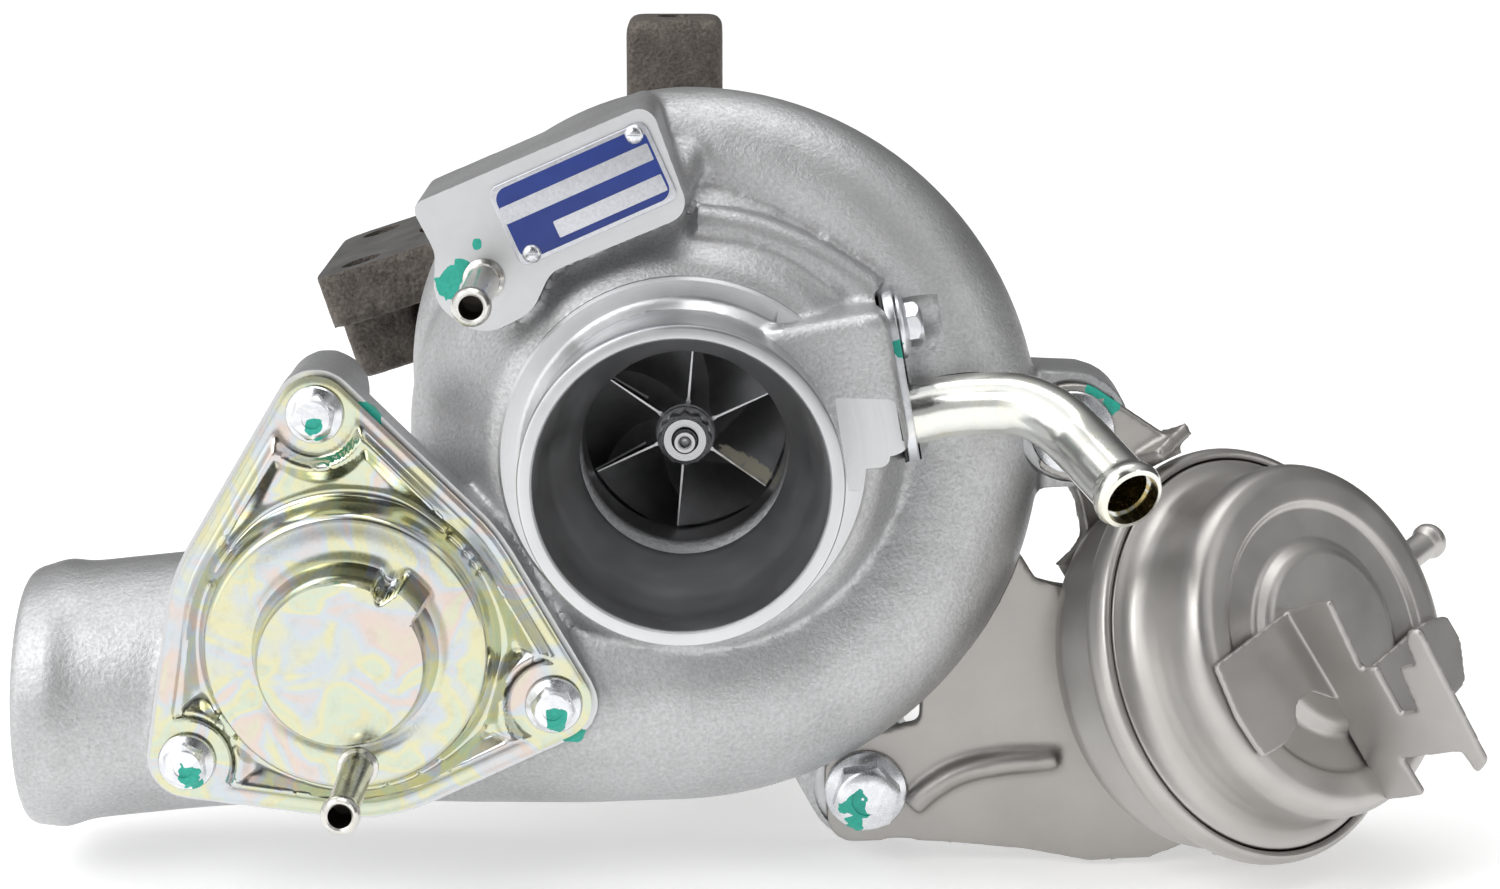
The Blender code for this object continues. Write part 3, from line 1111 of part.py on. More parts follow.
def turbine_housing():
    body = [
        (0, 117.4), (40.0, 117.4), (40.0, 124.0), (38.0, 125.0), (38.0, 150.0), (30.0, 152.0), (0, 152.0),
    ]
    clamp_room = [
        (0, 98.0), (41.5, 98.0), (41.5, 122.8), (33.6, 122.8), (33.6, 120.8), (36.0, 119.6), (36.0, 117.4),
        (0, 117.4),
    ]
    housing = turned("turbine_housing", body, on_shaft(), "cast_iron")
    flange_shape = rounded_outline([(-39, -31, 6), (39, -31, 6), (39, 31, 6), (-39, 31, 6)])
    pieces = [
        loft("turbine_scroll_skin", turbine_sections(0, 12), Matrix()),
        plate("manifold_flange", flange_shape, 12.0, port_frame()),
        plate("outlet_chamber", outlet_outline(0), OUTLET_Y - 148.0, on_shaft(148.0)),
        plate("outlet_flange", outlet_outline(7), 9.0, on_shaft(OUTLET_Y - 9.0)),
        block("stay_boss", (20.4, 19.0, 46.0), frame((-4.0, 132.0, 55.6), (0, 0, 1)), bevel=2.0),
        block("flange_lug", (17.0, 26.0, 26.0), port_frame(-31.0, 0, -14.0), bevel=2.0),
        rod("bush_boss", [GATE + GATE_AXIS * 38, GATE + GATE_AXIS * (LEVER_REACH - 7.0)], 10.5, Matrix(), None, 3),
    ]
    join(housing, *pieces)
    chamber_depth = OUTLET_Y - CHAMBER_Y
    holes = [
        loft("turbine_passage", turbine_sections(4.5, 10), Matrix()),
        turned("turbine_bore", [
            (0, 114), (32.0, 114), (32.0, 124.0), (35.0, 124.0), (35.0, 130.5), (24.2, 131.0),
            (EXDUCER_RADIUS + 0.5, 139.0), (EXDUCER_RADIUS + 0.5, 156.0), (0, 156.0)], on_shaft()),
        turned("clamp_room", clamp_room, on_shaft()),
        block("clamp_bolt_room", (38.0, 13.0, 24.0), frame((0, 117.0, -50.0), (0, 0, 1))),
        plate("chamber_hollow", outlet_outline(-5), chamber_depth + 4, on_shaft(CHAMBER_Y)),
        disc("gate_port", 8.0, -16, 3, on_shaft(CHAMBER_Y, flap_place().x, flap_place().z), steps=16),
        disc("bush_bore", 7.1, 0, 60, frame(GATE + GATE_AXIS * 90, GATE_AXIS), steps=16),
        disc("stay_tapping", 3.4, -2, 20, frame((-4.0, 132.0, 78.6), (0, 0, 1)), steps=SMALL_SEGMENTS),
    ]
    for x, y in FLANGE_BOLTS:
        holes.append(disc("manifold_bolt_hole", 4.5, -2, 15, port_frame(x, y), steps=SMALL_SEGMENTS))
    for x, z in STUD_PLACES:
        holes.append(disc("stud_hole", 4.3, -12, 12, on_shaft(OUTLET_Y, x, z), steps=SMALL_SEGMENTS))
    cut(housing, *holes)
    return smooth(housing)


def flap_place():
    """Centre of the bypass port and its flap, in the plane across the shaft line."""
    return GATE_AXIS * FLAP_REACH - GATE_SIDE * FLAP_SIDE


def turbine_group():
    turbine_housing()
    band = [
        (39.2, 112.2), (39.2, 122.2), (34.2, 122.2), (34.2, 121.4), (36.5, 120.4), (36.5, 114.0),
        (34.2, 113.0), (34.2, 112.2),
    ]
    clamp = turned("turbine_v_clamp", band, on_shaft(), "heat_steel")
    low = Vector((0, 117.2, 0))
    lugs = []
    for x in (-8.5, 8.5):
        lugs.append(block("clamp_lug", (3.0, 9.0, 15.0), frame(low + Vector((x, 0, -45.0)), (0, 0, 1))))
    join(clamp, *lugs)
    cut(clamp, block("clamp_split", (6.0, 20.0, 16.0), frame(low + Vector((0, 0, -42.0)), (0, 0, 1))))
    bolt_place = frame(low + Vector((-10.0 - GAP, 0, -47.0)), (-1, 0, 0))
    cut(clamp, disc("clamp_bolt_hole", 3.4, -5, 30, bolt_place, steps=SMALL_SEGMENTS))
    smooth(clamp)
    flange_bolt("v_clamp_bolt", bolt_place, 8.0, 5.4, 3.0, 29.0, "heat_steel")
    nut = prism("v_clamp_nut", 6, 9.0, 5.0, frame(low + Vector((10.0 + GAP, 0, -47.0)), (1, 0, 0)), "heat_steel")
    cut(nut, disc("v_nut_hole", 3.3, -9, 40, bolt_place, steps=SMALL_SEGMENTS))
    for i, (x, z) in enumerate(STUD_PLACES, 1):
        stud = [(0, -16), (3.4, -16), (4.0, -15.2), (4.0, 8.6), (3.4, 8.6), (0, 8.6)]
        place = frame((x, OUTLET_Y, z), (0, 1, 0))
        smooth(turned(f"outlet_stud_{i}", stud, place, "heat_steel", SMALL_SEGMENTS))


def rivet_places():
    """Turbo X and Z of the nameplate's two rivets, at opposite corners."""
    tilt = math.radians(PLATE_TILT)
    places = []
    for along, across in ((-14.0, -6.6), (14.0, 6.6)):
        x = PLATE_CENTRE[0] + along * math.cos(tilt) - across * math.sin(tilt)
        z = PLATE_CENTRE[1] + along * math.sin(tilt) + across * math.cos(tilt)
        places.append((x, z))
    return places


def build_turbocharger():
    compressor_housing()
    backplate_group()
    bypass_group()
    nameplate_group()
    bleed_tube_group()
    actuator_group()
    wastegate_group()
    bearing_group()
    rotor_group()
    turbine_group()


build_turbocharger()
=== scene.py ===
"""Looks of the turbocharger: fine casting, pressed sheet, plated steel and paint marks.

Sizes are in millimetres in the turbo's own axis frame, as in the model: origin at the centre of the
compressor inlet rim, shaft along Y, inlet towards -Y, Z up.  PORT is the world origin in that frame.
"""
import math

import bmesh
import bpy
from mathutils import Matrix, Vector


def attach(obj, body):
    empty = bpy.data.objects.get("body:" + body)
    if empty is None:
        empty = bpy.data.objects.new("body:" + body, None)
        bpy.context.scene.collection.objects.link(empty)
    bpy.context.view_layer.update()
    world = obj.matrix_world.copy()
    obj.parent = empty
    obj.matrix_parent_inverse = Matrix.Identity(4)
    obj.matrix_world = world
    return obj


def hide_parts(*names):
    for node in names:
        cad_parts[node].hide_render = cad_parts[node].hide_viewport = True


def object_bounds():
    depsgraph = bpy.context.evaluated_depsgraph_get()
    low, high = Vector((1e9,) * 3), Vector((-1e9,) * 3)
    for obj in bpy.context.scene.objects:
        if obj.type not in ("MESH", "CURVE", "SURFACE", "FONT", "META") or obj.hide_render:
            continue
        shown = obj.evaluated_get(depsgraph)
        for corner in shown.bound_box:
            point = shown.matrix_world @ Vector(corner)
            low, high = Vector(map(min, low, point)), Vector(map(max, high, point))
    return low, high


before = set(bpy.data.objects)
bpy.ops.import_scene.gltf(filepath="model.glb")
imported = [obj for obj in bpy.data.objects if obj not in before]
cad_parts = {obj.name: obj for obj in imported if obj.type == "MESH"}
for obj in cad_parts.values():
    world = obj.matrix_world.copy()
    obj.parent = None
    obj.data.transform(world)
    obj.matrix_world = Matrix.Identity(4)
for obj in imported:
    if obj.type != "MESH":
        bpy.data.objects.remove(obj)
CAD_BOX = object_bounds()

MM = 0.001
PORT = Vector((-45.0, 130.0, 36.0))
STEPS = 128                     # round the big turned pieces
SMALL_STEPS = 48                # round nipples, pins and bolts
HULL_STEP = 6                   # degrees between the points of a rounded hull

# ---- the same driving sizes as the model -------------------------------------------------------------
RIM_RADIUS = 31.75
THROAT_RADIUS = 20.9
NECK_FACE_Y = 24.5
PAD_Y = 24.0
BYPASS_CENTRE = (-67.0, -36.8)
BYPASS_BOLTS = ((-72.8, 10.0), (-100.4, -61.5), (-26.2, -49.6))
NIPPLE_CENTRE = (-39.1, 36.6)
PLATE_CENTRE = (-19.4, 53.6)
PLATE_TILT = 24.0
TUBE_TILT = 10.0
TUBE_HOLE = -8.0
TUBE_BOLT = 10.0
TUBE_PLATE_CENTRE = Vector((41.6, 34.0, 15.0))
TUBE_RADIUS = 6.25
ACT_AXIS = Vector((0.600957, -0.711137, 0.364877))
ACT_FRONT = Vector((131.3, 34.0, -38.8))
ACT_DEPTH = 42.5
ACT_CRIMP = 22.4
ACT_FRONT_RADIUS = 36.8
BRACKET_Y = 52.0
BRACKET_THICKNESS = 3.0
EAR_RADIUS = 10.2
ACT_BOLTS = ((80.0, 0.1), (37.8, -77.2))
ROD_AXIS = -ACT_AXIS
GATE_AXIS = ROD_AXIS.cross(Vector((0, 1, 0))).normalized()
LEVER_AXIS = GATE_AXIS.cross(ROD_AXIS)
SCROLL_START = 172.0
SCROLL_END = -90.0
SCROLL_BACK_Y = 70.0
SCROLL_WALL = 4.0
OUTLET_END_X = -138.2
WHEEL_TIP_RADIUS = 28.4
INDUCER_RADIUS = 20.2
WHEEL_BACK_Y = 71.6
PORT_TILT = 18.0
PORT_RADIUS = 17.0
TURBINE_Y = 134.0
TURBINE_TIP = 23.4
EXDUCER_RADIUS = 20.6
TURBINE_SWEEP = 238.0
CHAMBER_Y = 151.0
OUTLET_Y = 176.0
ROD_RADIUS = 3.0
PIN_RADIUS = 3.0
SHAFT_RADIUS = 4.0
LEVER_LENGTH = 26.0
LEVER_REACH = 83.0
FLAP_REACH = 33.0
FLAP_SIDE = 4.8
GATE = Vector((4.894, 158.0, 2.971))
PIN = Vector((35.465, 136.506, -75.568))
ROD_EYE_DROP = -LEVER_LENGTH * (1 - math.cos(math.radians(11.0875))) / 2

WORKSHOP = bpy.data.collections.new("workshop")
bpy.context.scene.collection.children.link(WORKSHOP)
TO_WORLD = Matrix.Translation(-PORT * MM)


# ---- placing -----------------------------------------------------------------------------------------
def frame_at(origin, z_axis, x_hint=(1, 0, 0)):
    """Matrix whose Z runs along z_axis and whose X is as near x_hint as it can be."""
    z = Vector(z_axis).normalized()
    x = Vector(x_hint)
    if abs(x.normalized().dot(z)) > 0.999:
        x = Vector((0, 1, 0))
    x = (x - z * x.dot(z)).normalized()
    matrix = Matrix((x, z.cross(x), z)).transposed().to_4x4()
    matrix.translation = Vector(origin) * MM
    return matrix


def on_shaft(y=0.0, x=0.0, z=0.0):
    return frame_at((x, y, z), (0, -1, 0))


def tube_plate_frame(up, out=0.0):
    tilt = math.radians(TUBE_TILT)
    normal = Vector((math.cos(tilt), 0, math.sin(tilt)))
    along = Vector((-normal.z, 0, normal.x))
    return frame_at(TUBE_PLATE_CENTRE + along * up + normal * out, normal, along)


def act_frame(depth=0.0):
    return frame_at(ACT_FRONT - ACT_AXIS * depth, ACT_AXIS)


# ---- shapes ------------------------------------------------------------------------------------------
def shape(name, mesh, place):
    """A shape in the workshop, which becomes a piece or is used up as a tool."""
    obj = bpy.data.objects.new(name, mesh)
    WORKSHOP.objects.link(obj)
    obj.matrix_world = TO_WORLD @ place
    return obj


def from_bmesh(bm, name, place):
    mesh = bpy.data.meshes.new(name)
    bmesh.ops.recalc_face_normals(bm, faces=bm.faces)
    bm.to_mesh(mesh)
    bm.free()
    return shape(name, mesh, place)


def turned(name, profile, place, steps=STEPS):
    """(radius, depth) points turned about the frame's Z, depth being measured against Z."""
    bm = bmesh.new()
    rings = []
    for radius, depth in profile:
        if radius <= 0:
            rings.append([bm.verts.new((0, 0, -depth * MM))])
            continue
        rings.append([bm.verts.new((radius * MM * math.cos(2 * math.pi * i / steps),
                                    radius * MM * math.sin(2 * math.pi * i / steps), -depth * MM))
                      for i in range(steps)])
    closed = profile[0][0] > 0 or profile[-1][0] > 0
    pairs = list(zip(rings, rings[1:])) + ([(rings[-1], rings[0])] if closed else [])
    for first, second in pairs:
        for i in range(steps):
            j = (i + 1) % steps
            corners = [first[i % len(first)], first[j % len(first)], second[j % len(second)],
                       second[i % len(second)]]
            corners = list(dict.fromkeys(corners))
            if len(corners) > 2:
                bm.faces.new(corners)
    return from_bmesh(bm, name, place)


def disc(name, radius, top, bottom, place, steps=STEPS, edge=0.0):
    profile = [(0, top), (radius - edge, top), (radius, top + edge), (radius, bottom - edge),
               (radius - edge, bottom), (0, bottom)]
    return turned(name, tidy(profile), place, steps)


def ring(name, outer, inner, top, bottom, place, steps=STEPS, edge=0.0):
    profile = [(inner + edge, top), (outer - edge, top), (outer, top + edge), (outer, bottom - edge),
               (outer - edge, bottom), (inner + edge, bottom), (inner, bottom - edge), (inner, top + edge)]
    return turned(name, tidy(profile), place, steps)


def tidy(profile):
    kept = []
    for point in profile:
        if not kept or (Vector(point) - Vector(kept[-1])).length > 1e-6:
            kept.append(point)
    if len(kept) > 1 and (Vector(kept[0]) - Vector(kept[-1])).length < 1e-6:
        kept.pop()
    return kept


def rounded(profile, radius=0.6, steps=4, closed=False):
    """The profile with each corner rounded."""
    outline = []
    count = len(profile)
    for i, (x, y) in enumerate(profile):
        if not closed and i in (0, count - 1):
            outline.append((x, y))
            continue
        corner = Vector((x, y))
        before = Vector(profile[i - 1]) - corner
        after = Vector(profile[(i + 1) % count]) - corner
        reach = min(radius, before.length * 0.45, after.length * 0.45)
        start = corner + before.normalized() * reach
        end = corner + after.normalized() * reach
        for k in range(steps + 1):
            t = k / steps
            point = start * (1 - t) ** 2 + corner * 2 * t * (1 - t) + end * t ** 2
            outline.append((point.x, point.y))
    return outline


def block(name, size, place, bevel=0.0):
    bm = bmesh.new()
    bmesh.ops.create_cube(bm, size=1.0)
    bmesh.ops.scale(bm, vec=Vector(size) * MM, verts=bm.verts)
    if bevel:
        bmesh.ops.bevel(bm, geom=bm.edges[:], offset=bevel * MM, segments=3, profile=0.5, affect="EDGES")
    return from_bmesh(bm, name, place)


def plate(name, outline, thickness, place, edge=0.0):
    """Flat plate with its top face on the frame's XY plane; edge is the bevel of its rims."""
    bm = bmesh.new()
    top = [bm.verts.new((x * MM, y * MM, 0)) for x, y in outline]
    face = bm.faces.new(top)
    grown = bmesh.ops.extrude_face_region(bm, geom=[face])
    bmesh.ops.translate(bm, vec=(0, 0, -thickness * MM),
                        verts=[v for v in grown["geom"] if isinstance(v, bmesh.types.BMVert)])
    obj = from_bmesh(bm, name, place)
    if edge:
        modifier = obj.modifiers.new("edge", "BEVEL")
        modifier.width = edge * MM
        modifier.segments = 3
        modifier.limit_method = "ANGLE"
        modifier.angle_limit = math.radians(50)
    return obj


def loft(name, sections):
    """Skin over rings of points given in the turbo's axis frame, closed at both ends."""
    bm = bmesh.new()
    rings = [[bm.verts.new(point * MM) for point in section] for section in sections]
    count = len(rings[0])
    for first, second in zip(rings, rings[1:]):
        for i in range(count):
            j = (i + 1) % count
            bm.faces.new((first[i], first[j], second[j], second[i]))
    bm.faces.new(rings[0])
    bm.faces.new(rings[-1])
    return from_bmesh(bm, name, Matrix())


def smooth_route(points, steps):
    points = [Vector(p) for p in points]
    padded = [2 * points[0] - points[1]] + points + [2 * points[-1] - points[-2]]
    route = []
    for a, b, c, d in zip(padded, padded[1:], padded[2:], padded[3:]):
        for i in range(steps):
            t = i / steps
            route.append(0.5 * (2 * b + (c - a) * t + (2 * a - 5 * b + 4 * c - d) * t ** 2
                                + (3 * b - a - 3 * c + d) * t ** 3))
    return route + [points[-1]]


def sweep(name, points, radius, smooth_steps=0, sides=32):
    """Round bar along points; radius is a number or a function of the share of its length."""
    route = smooth_route(points, smooth_steps) if smooth_steps else [Vector(p) for p in points]
    tangents = []
    for i in range(len(route)):
        tangents.append((route[min(i + 1, len(route) - 1)] - route[max(i - 1, 0)]).normalized())
    side = tangents[0].orthogonal().normalized()
    sections = []
    for i, (point, tangent) in enumerate(zip(route, tangents)):
        side = (side - tangent * side.dot(tangent)).normalized()
        other = tangent.cross(side)
        size = radius(i / (len(route) - 1)) if callable(radius) else radius
        sections.append([point + (side * math.cos(2 * math.pi * k / sides)
                                  + other * math.sin(2 * math.pi * k / sides)) * size for k in range(sides)])
    return loft(name, sections)


def combine(target, tools, operation):
    """Apply one boolean operation with each tool in turn."""
    for tool in tools:
        modifier = target.modifiers.new(operation.lower(), "BOOLEAN")
        modifier.operation = operation
        modifier.solver = "MANIFOLD"
        modifier.object = tool
    return target


def join(target, *tools):
    """Add pieces to the first one."""
    return combine(target, tools, "UNION")


def cut(target, *tools):
    """Take cutters away from the first piece."""
    return combine(target, tools, "DIFFERENCE")


def as_cast(obj, voxel, rounds):
    """Blend joined shapes as a mould does: one skin, with its inner corners filled."""
    remesh = obj.modifiers.new("skin", "REMESH")
    remesh.mode = "VOXEL"
    remesh.voxel_size = voxel * MM
    soften = obj.modifiers.new("soften", "SMOOTH")
    soften.factor = 0.5
    soften.iterations = rounds
    return obj


def hull_outline(circles):
    """Convex outline round circles given as (x, y, radius)."""
    points = []
    for x, y, radius in circles:
        for degrees in range(0, 360, HULL_STEP):
            angle = math.radians(degrees)
            points.append((x + radius * math.cos(angle), y + radius * math.sin(angle)))
    points.sort()
    return half_hull(points) + half_hull(points[::-1])


def half_hull(points):
    hull = []
    for point in points:
        while len(hull) > 1 and turn(hull[-2], hull[-1], point) <= 1e-9:
            hull.pop()
        hull.append(point)
    return hull[:-1]


def turn(a, b, c):
    return (b[0] - a[0]) * (c[1] - a[1]) - (b[1] - a[1]) * (c[0] - a[0])


def rounded_outline(corners, steps=8):
    outline = []
    for i, (x, y, radius) in enumerate(corners):
        corner = Vector((x, y))
        before = Vector(corners[i - 1][:2]) - corner
        after = Vector(corners[(i + 1) % len(corners)][:2]) - corner
        if not radius:
            outline.append((x, y))
            continue
        half = before.angle(after) / 2
        reach = min(radius / math.tan(half), before.length * 0.45, after.length * 0.45)
        start = corner + before.normalized() * reach
        end = corner + after.normalized() * reach
        for k in range(steps + 1):
            t = k / steps
            point = start * (1 - t) ** 2 + corner * 2 * t * (1 - t) + end * t ** 2
            outline.append((point.x, point.y))
    return outline


# ---- finishing a piece ---------------------------------------------------------------------------------
def workshop_tools(obj):
    found = []
    for modifier in obj.modifiers:
        if modifier.type == "BOOLEAN":
            found += workshop_tools(modifier.object) + [modifier.object]
    return found


def piece(obj, name, body, slot_name, materials, *nodes, paint=None, sharp=35):
    """Freeze a workshop shape into a named piece in world space, attach it to its body and hide the model parts it
    replaces.
    """
    bpy.context.view_layer.update()
    mesh = bpy.data.meshes.new_from_object(obj.evaluated_get(bpy.context.evaluated_depsgraph_get()))
    mesh.transform(obj.matrix_world)
    for tool in dict.fromkeys(workshop_tools(obj) + [obj]):
        bpy.data.objects.remove(tool, do_unlink=True)
    mesh.name = name
    mesh.materials.clear()
    for material in materials:
        mesh.materials.append(material)
    for polygon in mesh.polygons:
        centre = polygon.center / MM + PORT
        polygon.material_index = paint(centre, polygon.normal) if paint else 0
    mesh.shade_smooth()
    mesh.set_sharp_from_angle(angle=math.radians(sharp))
    result = bpy.data.objects.new(name, mesh)
    bpy.context.scene.collection.objects.link(result)
    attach(result, body)
    if nodes:
        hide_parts(*nodes)
    return result


# ---- materials -----------------------------------------------------------------------------------------
class Graph:
    """Small helper that adds shader nodes and links them."""

    def __init__(self, name):
        self.material = bpy.data.materials.new(name)
        self.material.use_nodes = True
        self.tree = self.material.node_tree
        self.shader = self.tree.nodes["Principled BSDF"]
        self.position = self.add("ShaderNodeTexCoord").outputs["Object"]

    def add(self, kind, **settings):
        node = self.tree.nodes.new(kind)
        for key, value in settings.items():
            setattr(node, key, value)
        return node

    def link(self, source, target):
        self.tree.links.new(source, target)

    def noise(self, size, detail=3.0, roughness=0.55, vector=None, distortion=0.0):
        """Noise whose features are size millimetres across."""
        node = self.add("ShaderNodeTexNoise")
        node.inputs["Scale"].default_value = 1.0 / (size * MM)
        node.inputs["Detail"].default_value = detail
        node.inputs["Roughness"].default_value = roughness
        node.inputs["Distortion"].default_value = distortion
        self.link(vector or self.position, node.inputs["Vector"])
        return node.outputs["Fac"]

    def ramp(self, source, *stops):
        node = self.add("ShaderNodeValToRGB")
        elements = node.color_ramp.elements
        while len(elements) < len(stops):
            elements.new(0.5)
        for element, (place, colour) in zip(elements, stops):
            element.position = place
            element.color = (*colour, 1.0) if len(colour) == 3 else colour
        self.link(source, node.inputs["Fac"])
        return node.outputs["Color"]

    def maths(self, operation, first, second=0.5, third=0.5):
        node = self.add("ShaderNodeMath", operation=operation)
        for socket, value in zip(node.inputs, (first, second, third)):
            if isinstance(value, (int, float)):
                socket.default_value = value
            else:
                self.link(value, socket)
        return node.outputs[0]

    def spread(self, source, low, high, start=0.3, end=0.7):
        """Map a 0..1 source onto low..high."""
        node = self.add("ShaderNodeMapRange")
        node.inputs["From Min"].default_value = start
        node.inputs["From Max"].default_value = end
        node.inputs["To Min"].default_value = low
        node.inputs["To Max"].default_value = high
        self.link(source, node.inputs["Value"])
        return node.outputs["Result"]

    def mix(self, factor, first, second):
        node = self.add("ShaderNodeMix", data_type="RGBA")
        for index, value in ((0, factor), (6, first), (7, second)):
            if isinstance(value, (int, float)):
                node.inputs[index].default_value = value
            elif isinstance(value, tuple):
                node.inputs[index].default_value = (*value, 1.0)
            else:
                self.link(value, node.inputs[index])
        return node.outputs[2]

    def bump(self, height, depth, strength=1.0, below=None):
        """Bump whose full height is depth millimetres."""
        node = self.add("ShaderNodeBump")
        node.inputs["Distance"].default_value = depth * MM
        node.inputs["Strength"].default_value = strength
        self.link(height, node.inputs["Height"])
        if below:
            self.link(below, node.inputs["Normal"])
        return node.outputs["Normal"]

    def set(self, **values):
        names = {"colour": "Base Color", "roughness": "Roughness", "metallic": "Metallic",
                 "normal": "Normal",
                 "specular": "Specular IOR Level"}
        for key, value in values.items():
            socket = self.shader.inputs[names[key]]
            if isinstance(value, tuple):
                socket.default_value = (*value, 1.0)
            elif isinstance(value, (int, float)):
                socket.default_value = value
            else:
                self.link(value, socket)
        return self.material

    def distance_to(self, point):
        """Distance in millimetres from a point of the turbo's axis frame."""
        node = self.add("ShaderNodeVectorMath", operation="DISTANCE")
        node.inputs[1].default_value = (Vector(point) - PORT) * MM
        self.link(self.position, node.inputs[0])
        return self.maths("DIVIDE", node.outputs["Value"], MM)


TEAL = (0.012, 0.33, 0.25)


def teal_marks(graph, marks):
    """Mask of brushed-on paint dabs, given as (point, radius) in the turbo's axis frame."""
    wobble = graph.spread(graph.noise(3.4, 2.0, 0.5), -1.0, 1.0)
    total = None
    for point, radius in marks:
        reach = graph.maths("MULTIPLY_ADD", wobble, radius * 0.4, graph.distance_to(point))
        inside = graph.maths("LESS_THAN", reach, radius)
        total = inside if total is None else graph.maths("MAXIMUM", total, inside)
    return total


def paint_over(graph, colour, roughness, metallic, marks):
    """Colour, roughness and metallic values with the teal marks laid over them."""
    if not marks:
        return colour, roughness, metallic
    mask = teal_marks(graph, marks)
    streak = graph.noise(0.7, 2.0)
    paint = graph.mix(graph.spread(streak, 0.0, 1.0), TEAL, (0.02, 0.42, 0.32))
    colour = graph.mix(mask, colour, paint)
    bare = graph.maths("SUBTRACT", 1.0, mask)
    rough = graph.maths("MULTIPLY_ADD", mask, 0.42, graph.maths("MULTIPLY", bare, roughness))
    metal = graph.maths("MULTIPLY", bare, metallic)
    return colour, rough, metal


def cast_metal(name, dark, light, roughness=0.55, metallic=0.9, grain=0.55, depth=0.10, marks=()):
    """Sand or die cast surface: fine grain over slow lumps, with slightly brighter high spots."""
    g = Graph(name)
    fine = g.noise(grain, 4.0, 0.65)
    slow = g.noise(6.0, 3.0, 0.5)
    cloud = g.noise(28.0, 2.0)
    tone = g.maths("MULTIPLY_ADD", fine, 0.55, g.maths("MULTIPLY", cloud, 0.45))
    colour = g.ramp(tone, (0.34, dark), (0.66, light))
    rough = g.spread(fine, roughness + 0.08, roughness - 0.06)
    coarse = g.bump(slow, depth * 1.6)
    normal = g.bump(fine, depth, 1.0, coarse)
    colour, rough, metal = paint_over(g, colour, rough, metallic, marks)
    return g.set(colour=colour, roughness=rough, metallic=metal, normal=normal)


def turned_metal(name, colour, roughness=0.28, axis_point=None, axis=None, marks=()):
    """Machined face: fine rings about an axis, or fine scratches where no axis is given."""
    g = Graph(name)
    smear = g.noise(9.0, 3.0)
    if axis is None:
        stretch = g.add("ShaderNodeMapping")
        stretch.inputs["Scale"].default_value = (0.06, 1.0, 1.0)
        g.link(g.position, stretch.inputs["Vector"])
        lines = g.noise(0.28, 3.0, 0.6, stretch.outputs["Vector"])
    else:
        shifted = g.add("ShaderNodeVectorMath", operation="SUBTRACT")
        shifted.inputs[1].default_value = (Vector(axis_point) - PORT) * MM
        g.link(g.position, shifted.inputs[0])
        flat = g.add("ShaderNodeVectorMath", operation="CROSS_PRODUCT")
        flat.inputs[1].default_value = Vector(axis).normalized()
        g.link(shifted.outputs[0], flat.inputs[0])
        length = g.add("ShaderNodeVectorMath", operation="LENGTH")
        g.link(flat.outputs[0], length.inputs[0])
        along = g.add("ShaderNodeVectorMath", operation="DOT_PRODUCT")
        along.inputs[1].default_value = Vector(axis).normalized()
        g.link(shifted.outputs[0], along.inputs[0])
        pair = g.add("ShaderNodeCombineXYZ")
        g.link(length.outputs["Value"], pair.inputs["X"])
        g.link(along.outputs["Value"], pair.inputs["Y"])
        lines = g.noise(0.22, 3.0, 0.7, pair.outputs["Vector"])
    shade = g.ramp(smear, (0.3, tuple(c * 0.90 for c in colour)), (0.7, colour))
    rough = g.maths("ADD", g.spread(lines, roughness - 0.06, roughness + 0.08),
                    g.spread(smear, -0.03, 0.05))
    normal = g.bump(lines, 0.012)
    shade, rough, metal = paint_over(g, shade, rough, 1.0, marks)
    return g.set(colour=shade, roughness=rough, metallic=metal, normal=normal)


def plated_metal(name, tints, roughness=0.2, patch=11.0, depth=0.02, grain=0.5, marks=()):
    """Zinc plate: smooth with faint spangle, drifting through its tints."""
    g = Graph(name)
    drift = g.noise(patch, 2.0, 0.5, distortion=1.2)
    stops = [(0.28 + 0.44 * i / (len(tints) - 1), tint) for i, tint in enumerate(tints)]
    colour = g.ramp(drift, *stops)
    specks = g.noise(grain, 2.0)
    blemish = g.noise(3.5, 5.0, 0.7)
    colour = g.mix(g.spread(blemish, 0.0, 0.22, 0.52, 0.75), colour, tuple(c * 0.55 for c in tints[0]))
    rough = g.maths("ADD", g.spread(specks, roughness - 0.04, roughness + 0.05),
                    g.spread(drift, -0.02, 0.05))
    normal = g.bump(g.noise(2.2, 3.0), depth, 0.6, g.bump(specks, depth * 0.35))
    colour, rough, metal = paint_over(g, colour, rough, 1.0, marks)
    return g.set(colour=colour, roughness=rough, metallic=metal, normal=normal)


def satin_steel(name, colour, roughness=0.42, marks=()):
    """Blasted and phosphated sheet: very fine grain, faint clouds and a few scuffs."""
    g = Graph(name)
    grain = g.noise(0.35, 3.0, 0.6)
    cloud = g.noise(17.0, 3.0, 0.5)
    scuff = g.noise(1.6, 6.0, 0.8)
    tone = g.ramp(cloud, (0.3, tuple(c * 0.9 for c in colour)),
                  (0.7, tuple(min(c * 1.06, 1) for c in colour)))
    tone = g.mix(g.spread(scuff, 0.0, 0.5, 0.70, 0.80), tone, (0.62, 0.60, 0.57))
    rough = g.maths("ADD", g.spread(grain, roughness - 0.05, roughness + 0.07),
                    g.spread(cloud, -0.03, 0.03))
    normal = g.bump(grain, 0.025)
    tone, rough, metal = paint_over(g, tone, rough, 0.95, marks)
    return g.set(colour=tone, roughness=rough, metallic=metal, normal=normal)


